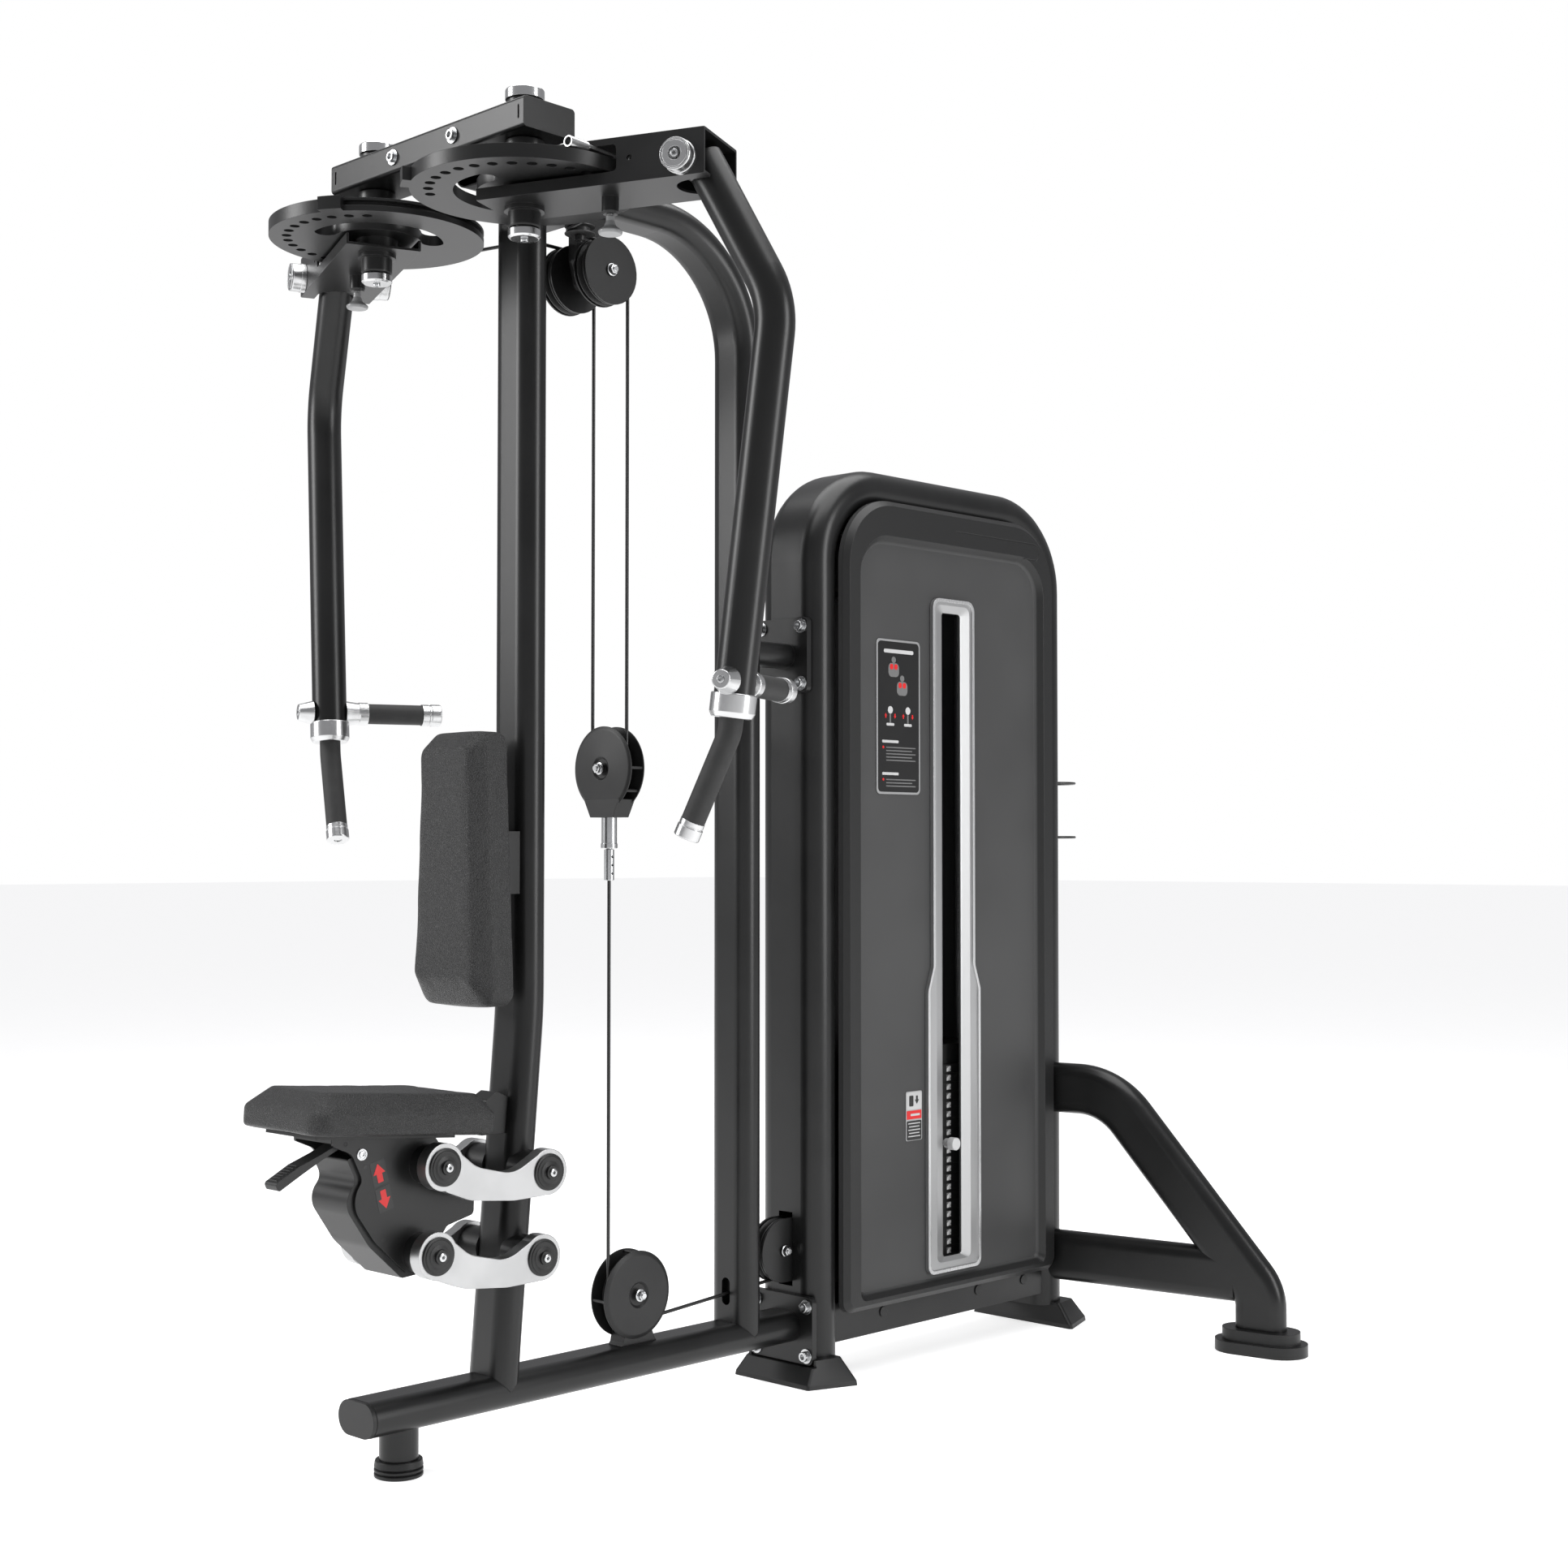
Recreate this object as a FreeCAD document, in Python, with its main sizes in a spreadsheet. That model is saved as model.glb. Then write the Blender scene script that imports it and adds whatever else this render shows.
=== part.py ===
import FreeCAD, Part
# Pec deck machine: a mid-line frame, a weight tower behind it, two overhead cams that each carry a
# hanging arm, a seat on parallel links and the cable drive that joins the cams to the stack.
# Frame of reference: millimetres, +Z up, +X to the user's left, +Y from the seat towards the tower.
# The origin is on the floor, on the mirror plane, under the front foot.
import math
import os
import re

import Sketcher
from FreeCAD import Placement, Rotation, Vector

doc = FreeCAD.newDocument("pec_deck")

# ---------------------------------------------------------------- driving dimensions
SIZES = {
    # flat-oval frame tube: width across X, thickness, wall
    "tube_w": 92, "tube_t": 54, "tube_wall": 3,
    "beam_z": 99, "beam_front": -64, "beam_rear": 850,
    "leg_y": 8, "leg_r": 30, "foot_r": 37.5, "foot_h": 26,
    "col_y": 241, "col_bend_z": 702, "col_base_y": 190, "run_z": 2046, "run_bend": 212,
    "rear_col_y": 736,
    "cross_half": 248, "cross_front": 40, "cross_rear": 140, "cross_bottom": 2034, "cross_top": 2081,
    # pivots of the two cams
    "pivot_x": 190, "pivot_y": 90, "shaft_r": 15, "bore_r": 15.05,
    "cam_r": 174, "cam_z": 1955, "cam_t": 9, "groove_r": 162, "groove_h": 8, "flange_t": 4,
    "hole_ring_r": 145, "hole_step": 11.5, "lug_r": 187,
    "swing": 22.5, "plate_in": 50, "plate_out": 325, "chan_half": 61, "chan_wall": 4,
    "chan_bottom": 1932, "chan_top": 2000, "slot_in": 184,
    "axle_x": 289, "axle_z": 1957, "axle_r": 8,
    "arm_r": 30, "grip_r": 18, "cross_z": 1199,
    # cable drive
    "cable_r": 3, "cable_z": 1968, "wheel_r": 50, "wheel_rim": 56, "float_r": 43, "float_rim": 49,
    "guide_r": 20, "guide_rim": 25,
    "top_x": 43, "top_y": 383, "guide_x": 63, "guide_y": 310,
    "float_z": 1092, "base_y": 483, "base_z": 208, "low_y": 841, "low_z": 235,
    "head_y": 941, "head_z": 1500,
    # weight tower
    "tower_y": 1235, "tower_half": 374, "tower_w": 148, "tower_t": 75, "tower_top": 1666,
    "tower_r": 147.5, "tower_foot_z": 40, "rail_w": 120, "rail_bottom": 64, "rail_top": 134,
    "panel_half": 313, "panel_in": 74, "panel_out": 95, "panel_bottom": 118, "panel_top": 1606,
    "slot_half": 26, "slot_bottom": 183, "slot_top": 1411,
    "rod_dy": 125, "rod_r": 10, "clamp_z": 1425,
    "plate_len": 300, "plate_dep": 110, "plate_t": 17.1, "plate_pitch": 17.4, "stack_z": 178,
    # rear struts
    "strut_h": 100, "strut_t": 50, "strut_y": 1577, "strut_turn": 8.7,
    # seat
    "seat_tilt": 4.5, "seat_z": 526, "link_r": 36, "link_in": 78, "link_out": 100,
    "side_x": 65, "side_t": 5,
}
sheet = doc.addObject("Spreadsheet::Sheet", "Sizes")
for row, (alias, value) in enumerate(SIZES.items(), start=1):
    sheet.set("A%d" % row, alias)
    sheet.set("B%d" % row, str(value))
    sheet.setAlias("B%d" % row, alias)
doc.recompute()

MAKES = {}


def v(alias):
    """A size as the sheet holds it."""
    return float(sheet.get(alias))


def expr(text):
    """Text with every alias turned into a reference to the sheet."""
    return re.sub(r"[a-z]+_?[a-z_]*",
        lambda m: "Sizes." + m.group(0) if m.group(0) in SIZES else m.group(0), text)


def bind(obj, prop, size):
    """Sets a property from a number, or binds it to the sheet when the size is an expression."""
    if isinstance(size, str):
        obj.setExpression(prop, expr(size))
    else:
        setattr(obj, prop, size)


def place(obj, at=(0, 0, 0), rot=None):
    """Places an object; position entries may be expressions of the sheet."""
    numbers = [0 if isinstance(a, str) else a for a in at]
    obj.Placement = Placement(Vector(*numbers), rot or Rotation())
    for axis, size in zip("xyz", at):
        if isinstance(size, str):
            obj.setExpression("Placement.Base." + axis, expr(size))
    return obj


ALONG = {
    "z": Rotation(),
    "x": Rotation(Vector(0, 1, 0), 90),
    "y": Rotation(Vector(1, 0, 0), -90),
}


def cylinder(name, radius, height, at=(0, 0, 0), along="z"):
    obj = doc.addObject("Part::Cylinder", name)
    bind(obj, "Radius", radius)
    bind(obj, "Height", height)
    return place(obj, at, ALONG[along])


def cone(name, radius_a, radius_b, height, at=(0, 0, 0), along="z"):
    obj = doc.addObject("Part::Cone", name)
    bind(obj, "Radius1", radius_a)
    bind(obj, "Radius2", radius_b)
    bind(obj, "Height", height)
    return place(obj, at, ALONG[along])


def box(name, size, at):
    obj = doc.addObject("Part::Box", name)
    for prop, value in zip(("Length", "Width", "Height"), size):
        bind(obj, prop, value)
    return place(obj, at)


def cut(name, base, tool):
    obj = doc.addObject("Part::Cut", name)
    obj.Base = base
    obj.Tool = tool
    return obj


def fuse(name, shapes):
    obj = doc.addObject("Part::MultiFuse", name)
    obj.Shapes = shapes
    obj.Refine = True
    return obj


def group(name, shapes):
    obj = doc.addObject("Part::Compound", name)
    obj.Links = shapes
    return obj


def mirror(name, source):
    obj = doc.addObject("Part::Mirroring", name)
    obj.Source = source
    obj.Normal = Vector(1, 0, 0)
    return obj


def rounded(points, closed=True):
    """Lines and tangent arcs through (x, y, radius) corners, for a sketch."""
    corners = [Vector(p[0], p[1], 0) for p in points]
    radii = [p[2] if len(p) > 2 else 0 for p in points]
    count = len(corners)
    ins, outs, arcs = [], [], []
    for i in range(count):
        here = corners[i]
        end = not closed and i in (0, count - 1)
        if radii[i] == 0 or end:
            ins.append(here)
            outs.append(here)
            arcs.append(None)
            continue
        a = (corners[i - 1] - here).normalize()
        b = (corners[(i + 1) % count] - here).normalize()
        half = a.getAngle(b) / 2
        reach = radii[i] / math.tan(half)
        middle = here + (a + b).normalize() * (radii[i] / math.sin(half))
        start = here + a * reach
        stop = here + b * reach
        mid = middle + (here - middle).normalize() * radii[i]
        ins.append(start)
        outs.append(stop)
        arcs.append(Part.Arc(start, mid, stop))
    items = []
    for i in range(count if closed else count - 1):
        if arcs[i]:
            items.append(arcs[i])
        nxt = (i + 1) % count
        if (ins[nxt] - outs[i]).Length > 1e-6:
            items.append(Part.LineSegment(outs[i], ins[nxt]))
    return items


def slot_lines(cx, cy, half_len, radius, angle=0):
    """A stadium: two lines and two half circles."""
    u = Vector(math.cos(angle), math.sin(angle), 0)
    w = Vector(-u.y, u.x, 0)
    c = Vector(cx, cy, 0)
    p, q = c + u * half_len, c - u * half_len
    return [
        Part.LineSegment(q + w * radius, p + w * radius),
        Part.Arc(p + w * radius, p + u * radius, p - w * radius),
        Part.LineSegment(p - w * radius, q - w * radius),
        Part.Arc(q - w * radius, q - u * radius, q + w * radius),
    ]


def circle(cx, cy, radius):
    return [Part.Circle(Vector(cx, cy, 0), Vector(0, 0, 1), radius)]


PLANES = {"XY": "XY_Plane", "XZ": "XZ_Plane", "YZ": "YZ_Plane"}


def origin_plane(body, plane):
    role = PLANES[plane]
    return [f for f in body.Origin.OriginFeatures if f.Role == role][0]


def sketch_on(body, name, plane, items, offset=0, radius=None):
    """A sketch attached to one of the body's own origin planes, moved along its normal."""
    sk = body.newObject("Sketcher::SketchObject", name)
    sk.AttachmentSupport = [(origin_plane(body, plane), "")]
    sk.MapMode = "FlatFace"
    if isinstance(offset, str):
        sk.setExpression("AttachmentOffset.Base.z", expr(offset))
    else:
        sk.AttachmentOffset = Placement(Vector(0, 0, offset), Rotation())
    sk.addGeometry(items, False)
    if radius is not None:
        index = sk.addConstraint(Sketcher.Constraint("Radius", 0, float(items[0].Radius)))
        sk.setExpression("Constraints[%d]" % index, expr(radius))
    return sk


def pad(body, name, sk, length, midplane=False, back=False):
    feat = body.newObject("PartDesign::Pad", name)
    feat.Profile = sk
    bind(feat, "Length", length)
    feat.Midplane = midplane
    feat.Reversed = back
    body.Tip = feat
    return feat


def pocket(body, name, sk, length, midplane=True, back=False):
    feat = body.newObject("PartDesign::Pocket", name)
    feat.Profile = sk
    bind(feat, "Length", length)
    feat.Midplane = midplane
    feat.Reversed = back
    body.Tip = feat
    return feat


def prism(name, plane, items, length, offset=0, midplane=False, back=False):
    """A body padded from one closed outline."""
    body = doc.addObject("PartDesign::Body", name)
    sk = sketch_on(body, name + "_outline", plane, items, offset)
    pad(body, name + "_pad", sk, length, midplane, back)
    return body


def turned(name, profile, at=(0, 0, 0), along="z"):
    """A body turned about its own Z axis from (radius, height) corners, then placed."""
    body = doc.addObject("PartDesign::Body", name)
    sk = sketch_on(body, name + "_profile", "XZ", rounded(profile))
    feat = body.newObject("PartDesign::Revolution", name + "_turn")
    feat.Profile = sk
    feat.ReferenceAxis = (sk, ["V_Axis"])
    feat.Angle = 360
    body.Tip = feat
    return place(body, at, ALONG[along])


def outline_wire(name, items, at=None, rot=None):
    """A free sketch used as a sweep section or spine."""
    sk = doc.addObject("Sketcher::SketchObject", name)
    sk.addGeometry(items, False)
    sk.Placement = Placement(Vector(*(at or (0, 0, 0))), rot or Rotation())
    return sk


def sweep(name, section, spine, edges):
    obj = doc.addObject("Part::Sweep", name)
    obj.Sections = [section]
    obj.Spine = (spine, ["Edge%d" % (i + 1) for i in range(edges)])
    obj.Solid = True
    obj.Frenet = False
    return obj


YZ = Rotation(Vector(1, 1, 1), 120)
XZ = Rotation(Vector(1, 0, 0), 90)


def oval_tube(name, path, plane_rot, half_flat, radius, wall, start, direction, flat_along, at=(0, 0, 0)):
    """A hollow flat-oval tube along a planar path: outer and inner sweeps, and their difference."""
    items = rounded(path, closed=False)
    spine = outline_wire(name + "_path", items, at, plane_rot)
    z_axis = Vector(*direction)
    x_axis = Vector(*flat_along)
    rot = Rotation(x_axis, z_axis.cross(x_axis), z_axis, "ZXY")
    outer = outline_wire(name + "_outer", slot_lines(0, 0, half_flat, radius), start, rot)
    inner = outline_wire(name + "_inner", slot_lines(0, 0, half_flat, radius - wall), start, rot)
    solid = sweep(name + "_solid", outer, spine, len(items))
    void = sweep(name + "_void", inner, spine, len(items))
    return solid, cut(name + "_tube", solid, void)


def keep(label, obj):
    """Names the finished object of one sub-part; its label is the file name."""
    obj.Label = label
    MAKES[label] = obj
    return obj


FLAT = (v("tube_w") - v("tube_t")) / 2
ROUND = v("tube_t") / 2
WALL = v("tube_wall")

# ---------------------------------------------------------------- floor beam, leg and foot
beam_solid = prism("beam_solid", "XZ", slot_lines(0, v("beam_z"), FLAT, ROUND), "beam_rear - beam_front",
                   "-beam_front", back=False)
beam_void = prism("beam_void", "XZ", slot_lines(0, v("beam_z"), FLAT, ROUND - WALL),
                  "beam_rear - beam_front + 2", "-beam_front + 1")
for tool in (beam_solid, beam_void):
    # an XZ sketch points to -Y, so the pad is turned round to run towards the tower
    tool.Group[-1].Reversed = True
beam_tube = cut("beam_tube", beam_solid, beam_void)
leg = cylinder("leg", "leg_r", "beam_z - foot_h", (0, "leg_y", "foot_h"))
leg_trim = cut("leg_trim", leg, beam_solid)
keep("floor_beam", fuse("floor_beam", [beam_tube, leg_trim]))

foot_profile = [(0, 0), (37.5, 0, 2), (37.5, 5), (34, 7), (37.5, 9), (37.5, 12), (34, 14), (37.5, 16),
    (36, 26, 2), (0, 26)]
front_foot = turned("front_foot", foot_profile, (0, "leg_y", 0))

cap_outer = prism("cap_outer", "XZ", slot_lines(0, v("beam_z"), FLAT, ROUND - 0.5), 7, "-beam_front + 0.2")
cap_plug = prism("cap_plug", "XZ", slot_lines(0, v("beam_z"), FLAT, ROUND - WALL - 0.3), 20,
    "-beam_front + 1", back=True)
beam_cap = fuse("beam_cap", [cap_outer, cap_plug])

# ---------------------------------------------------------------- front column
front_path = [(v("col_base_y"), v("beam_z")), (v("col_y"), v("col_bend_z"), 900), (v("col_y"), 2019)]
lean = Vector(0, v("col_y") - v("col_base_y"), v("col_bend_z") - v("beam_z")).normalize()
front_solid, front_tube = oval_tube(
    "front_column", front_path, YZ, FLAT, ROUND, WALL,
    (0, v("col_base_y"), v("beam_z")), tuple(lean), (1, 0, 0))
front_column = cut("front_column_cut", front_tube, beam_solid)
keep("front_column", front_column)

# ---------------------------------------------------------------- rear column and top run
rear_path = [(v("rear_col_y"), v("beam_z")), (v("rear_col_y"), v("run_z"), v("run_bend")),
             (v("cross_rear"), v("run_z"))]
rear_solid, rear_tube = oval_tube(
    "rear_column", rear_path, YZ, FLAT, ROUND, WALL,
    (0, v("rear_col_y"), v("beam_z")), (0, 0, 1), (1, 0, 0))
cable_slot = prism("cable_slot", "XZ", slot_lines(0, 179, 14, 10, math.pi / 2), 80, -v("rear_col_y"),
    midplane=True)
rear_slotted = cut("rear_slotted", rear_tube, cable_slot)
keep("rear_column", cut("rear_column_cut", rear_slotted, beam_solid))

# ---------------------------------------------------------------- crossbeam
crossbeam = doc.addObject("PartDesign::Body", "crossbeam")
sk = sketch_on(crossbeam, "cross_section", "YZ", rounded([
    (v("cross_front"), v("cross_bottom"), 6), (v("cross_rear"), v("cross_bottom"), 6),
    (v("cross_rear"), v("cross_top"), 6), (v("cross_front"), v("cross_top"), 6)]))
pad(crossbeam, "cross_pad", sk, "2 * cross_half", midplane=True)
sk = sketch_on(crossbeam, "cross_inside", "YZ", rounded([
    (v("cross_front") + 3, v("cross_bottom") + 3, 3), (v("cross_rear") - 3, v("cross_bottom") + 3, 3),
    (v("cross_rear") - 3, v("cross_top") - 3, 3), (v("cross_front") + 3, v("cross_top") - 3, 3)]))
pocket(crossbeam, "cross_hollow", sk, "2 * cross_half - 8")
for side in (-1, 1):
    tag = "l" if side > 0 else "r"
    sk = sketch_on(crossbeam, "cross_slot_" + tag, "XZ",
                   slot_lines(side * 236, 2058, 9, 1.6, math.pi / 2), -v("cross_front") + 2)
    pocket(crossbeam, "cross_slot_cut_" + tag, sk, 8, midplane=True)
    sk = sketch_on(crossbeam, "shaft_hole_" + tag, "XY", circle(side * v("pivot_x"), v("pivot_y"),
        v("shaft_r")), 2057, radius="shaft_r")
    pocket(crossbeam, "shaft_hole_cut_" + tag, sk, 120)
    sk = sketch_on(crossbeam, "bolt_hole_" + tag, "XZ", circle(side * 77, 2057.5, 6), -v("cross_front"))
    pocket(crossbeam, "bolt_hole_cut_" + tag, sk, 12)
keep("crossbeam", crossbeam)


# ---------------------------------------------------------------- bolts of the frame
def socket_bolt(name, at, along, flip=False, head_r=9.0, head_h=9.0, shank=14.0):
    """A socket-head bolt with its washer; the head points along +axis, or along -axis when flipped."""
    s = -1 if flip else 1
    r = head_r
    body = doc.addObject("PartDesign::Body", name)
    sk = sketch_on(body, name + "_p", "XZ", rounded([
        (0, -shank), (4.8, -shank), (4.8, 0), (r + 4, 0), (r + 4, 2.5), (r, 2.5), (r, 2.5 + head_h, 1.2),
        (5, 2.5 + head_h), (5, 2.5 + head_h - 5), (0, 2.5 + head_h - 5)]))
    feat = body.newObject("PartDesign::Revolution", name + "_t")
    feat.Profile = sk
    feat.ReferenceAxis = (sk, ["V_Axis"])
    body.Tip = feat
    turn = {"x": Rotation(Vector(0, 1, 0), 90 * s), "y": Rotation(Vector(1, 0, 0), -90 * s),
            "z": Rotation(Vector(1, 0, 0), 0 if s > 0 else 180)}[along]
    return place(body, at, turn)


bolts = []
for i, x in enumerate((-77, 77)):
    bolts.append(socket_bolt("cross_bolt_%d" % i, (x, "cross_front", 2057.5), "y", flip=True, head_r=8.5,
        head_h=6))
LINK_BOLTS = [(x, z) for z in (1257, 1361) for x in (-50, 50)] + [(x,
    z) for z in (52, 139) for x in (-62, 62)]
for i, (x, z) in enumerate(LINK_BOLTS):
    bolts.append(socket_bolt("link_bolt_%d" % i, (x, "beam_rear", z), "y", flip=True))
keep("frame_bolts", group("frame_bolts", bolts))

# ---------------------------------------------------------------- links between columns and tower
TOWER_FRONT = v("tower_y") - v("tower_half")
link_tube = prism("link_tube", "XZ", slot_lines(0, 1309, 12, 22), "beam_rear - rear_col_y - 27 + 30",
                  "-beam_rear", back=False)
link_inner = prism("link_inner", "XZ", slot_lines(0, 1309, 12, 19), "beam_rear - rear_col_y + 20",
    "-beam_rear - 1")
link_hollow = cut("link_hollow", link_tube, link_inner)
link_saddle = cut("link_saddle", link_hollow, rear_solid)


def bolted_plate(name, half_x, z_low, z_high, holes):
    body = doc.addObject("PartDesign::Body", name)
    sk = sketch_on(body, name + "_o", "XZ", rounded([(-half_x, z_low, 10), (half_x, z_low, 10), (half_x,
        z_high, 10), (-half_x, z_high, 10)]), "-beam_rear")
    pad(body, name + "_p", sk, TOWER_FRONT - v("beam_rear"), back=True)
    items = []
    for x, z in holes:
        items += circle(x, z, 5)
    sk = sketch_on(body, name + "_h", "XZ", items, "-beam_rear - 5")
    pocket(body, name + "_c", sk, 40)
    return body


upper_plate = bolted_plate("upper_plate", 64, 1241, 1377, LINK_BOLTS[:4])
lower_plate = bolted_plate("lower_plate", 76, 36, 156, LINK_BOLTS[4:])
keep("tower_links", group("tower_links", [fuse("upper_link", [link_saddle, upper_plate]), lower_plate]))

# ---------------------------------------------------------------- tower: arch and base rail
TF = (v("tower_w") - v("tower_t")) / 2
TR = v("tower_t") / 2
front_y = TOWER_FRONT + TR
rear_y = v("tower_y") + v("tower_half") - TR
arch_path = [(front_y, v("tower_foot_z")), (front_y, v("tower_top") - TR, v("tower_r")),
             (rear_y, v("tower_top") - TR, v("tower_r")), (rear_y, v("tower_foot_z"))]
arch_solid, arch_tube = oval_tube(
    "tower_arch", arch_path, YZ, TF, TR, WALL, (0, front_y, v("tower_foot_z")), (0, 0, 1), (1, 0, 0))
rail_outer = box("rail_outer", ("rail_w", rear_y - front_y, "rail_top - rail_bottom"),
                 ("-rail_w / 2", front_y, "rail_bottom"))
rail_inner = box("rail_inner", ("rail_w - 6", rear_y - front_y + 4, "rail_top - rail_bottom - 6"),
                 ("-rail_w / 2 + 3", front_y - 2, "rail_bottom + 3"))
rail_tube = cut("rail_tube", rail_outer, rail_inner)
rail_trim = cut("rail_trim", rail_tube, arch_solid)
tower_raw = fuse("tower_raw", [arch_tube, rail_trim])
pockets = [
    # window of the low pulley, window of the head pulley, threaded holes of the link bolts
    box("low_window", (34, 40, 132), (-17, TOWER_FRONT - 20, "low_z - 66")),
    box("head_window", (34, 110, 130), (-17, 925, 1432)),
]
for i, (x, z) in enumerate(LINK_BOLTS):
    pockets.append(cylinder("link_hole_%d" % i, 5, 20, (x, TOWER_FRONT - 10, z), "y"))
for i, dy in enumerate((-176, 103, 247)):
    pockets.append(cylinder("plug_hole_%d" % i, 7, 12, ("rail_w / 2 - 6", v("tower_y") + dy, 100), "x"))
    pockets.append(cylinder("plug_hole_b%d" % i, 7, 12, ("-rail_w / 2 - 6", v("tower_y") + dy, 100), "x"))
keep("tower_frame", cut("tower_frame", tower_raw, group("tower_pockets", pockets)))

plugs = [beam_cap]
for i, dy in enumerate((-176, 103, 247)):
    for s in (-1, 1):
        name = "plug_%d%s" % (i, "a" if s > 0 else "b")
        shaft = cylinder(name + "s", 6.9, 7, (s * (v("rail_w") / 2 - 3) - 3.5, v("tower_y") + dy, 100), "x")
        head = cylinder(name + "h", 9.5, 2, (s * (v("rail_w") / 2 + 1.05) - 1, v("tower_y") + dy, 100), "x")
        plugs.append(fuse(name, [shaft, head]))
keep("end_plugs", group("end_plugs", plugs))


# ---------------------------------------------------------------- tower feet and rubber feet
def tower_foot(name, outer_y, inward):
    """A flared moulded foot, narrower on its outer side, with a socket for the upright."""
    body = doc.addObject("PartDesign::Body", name)
    a, b = outer_y, outer_y + inward * 97
    c, d = outer_y + inward * 30, outer_y + inward * 90
    low = sketch_on(body, name + "_low", "XY", rounded([(-92, a, 6), (92, a, 6), (128, b, 6), (-128,
        b, 6)]), 0)
    mid = sketch_on(body, name + "_mid", "XY", rounded([(-91, a + inward, 6), (91, a + inward, 6),
                                                      (126, b, 6), (-126, b, 6)]), 8)
    top = sketch_on(body, name + "_top", "XY", rounded([(-80, c, 6), (80, c, 6), (92, d, 6), (-92, d, 6)]),
        46)
    feat = body.newObject("PartDesign::AdditiveLoft", name + "_base")
    feat.Profile = low
    feat.Sections = [mid]
    feat.Ruled = True
    up = body.newObject("PartDesign::AdditiveLoft", name + "_flare")
    mid2 = sketch_on(body, name + "_mid2", "XY", rounded([(-91, a + inward, 6), (91, a + inward, 6),
                                                        (126, b, 6), (-126, b, 6)]), 8)
    up.Profile = mid2
    up.Sections = [top]
    up.Ruled = True
    body.Tip = up
    return body


feet = [tower_foot("tower_foot_front", 822, 1), tower_foot("tower_foot_rear", 2 * v("tower_y") - 822, -1)]
foot_parts = []
for foot in feet:
    foot_parts.append(cut(foot.Name + "_socket", foot, arch_solid))
lower_clear = box("lower_clear", (170, 14, 130), (-85, "beam_rear - 12", 34))
foot_parts[0] = cut("front_socket_clear", foot_parts[0], fuse("foot_clear", [
    lower_clear, box("plate_clear", (156, 12, 130), (-78, TOWER_FRONT - 11, 34))]))

# ---------------------------------------------------------------- rear struts
turn = Rotation(Vector(0, 0, 1), v("strut_turn"))
STRUT_ROOT = Vector(62, v("strut_y"), 0)


def strut_tube(name, path):
    """A strut tube in the upright plane that starts at the rear upright and is turned a little back."""
    items = rounded(path, closed=False)
    plane_rot = turn.multiply(XZ)
    spine = outline_wire(name + "_path", items, tuple(STRUT_ROOT), plane_rot)
    start = STRUT_ROOT + turn.multVec(Vector(path[0][0], 0, path[0][1]))
    z_axis = turn.multVec(Vector(1, 0, 0))
    rot = Rotation(Vector(0, 0, 1), z_axis.cross(Vector(0, 0, 1)), z_axis, "ZXY")
    flat = (v("strut_h") - v("strut_t")) / 2
    outer = outline_wire(name + "_outer", slot_lines(0, 0, flat, v("strut_t") / 2), tuple(start), rot)
    inner = outline_wire(name + "_inner", slot_lines(0, 0, flat, v("strut_t") / 2 - 3), tuple(start), rot)
    return sweep(name + "_solid", outer, spine, len(items)), sweep(name + "_void", inner, spine, len(items))


upper_solid, upper_void = strut_tube("strut_upper", [(0, 476), (131, 476, 150), (447, 112, 74), (447, 30)])
lower_solid, lower_void = strut_tube("strut_lower", [(0, 140), (400, 140)])
upper_tube = cut("strut_upper_tube", upper_solid, upper_void)
lower_tube = cut("strut_lower_tube", lower_solid, lower_void)
lower_trim = cut("strut_lower_trim", lower_tube, upper_solid)
strut_joined = fuse("strut_joined", [upper_tube, lower_trim])
strut_left = cut("strut_left", strut_joined, arch_solid)
keep("side_struts", group("side_struts", [strut_left, mirror("strut_right", strut_left)]))

foot_at = STRUT_ROOT + turn.multVec(Vector(447, 0, 0))
strut_foot = doc.addObject("PartDesign::Body", "strut_foot")
sk = sketch_on(strut_foot, "strut_foot_o", "XY", slot_lines(0, 0, 38, 52), 0)
pad(strut_foot, "strut_foot_p", sk, 22)
sk = sketch_on(strut_foot, "strut_foot_n", "XY", slot_lines(0, 0, 34, 42), 22)
pad(strut_foot, "strut_foot_neck", sk, 22)
sk = sketch_on(strut_foot, "strut_foot_s", "XY", slot_lines(0, 0, 25, 25.0), 44)
pocket(strut_foot, "strut_foot_socket", sk, 14, midplane=False)
strut_foot.Placement = Placement(foot_at, turn)
feet_set = [front_foot, strut_foot, mirror("strut_foot_right", strut_foot)] + foot_parts
keep("floor_feet", group("floor_feet", feet_set))


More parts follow.
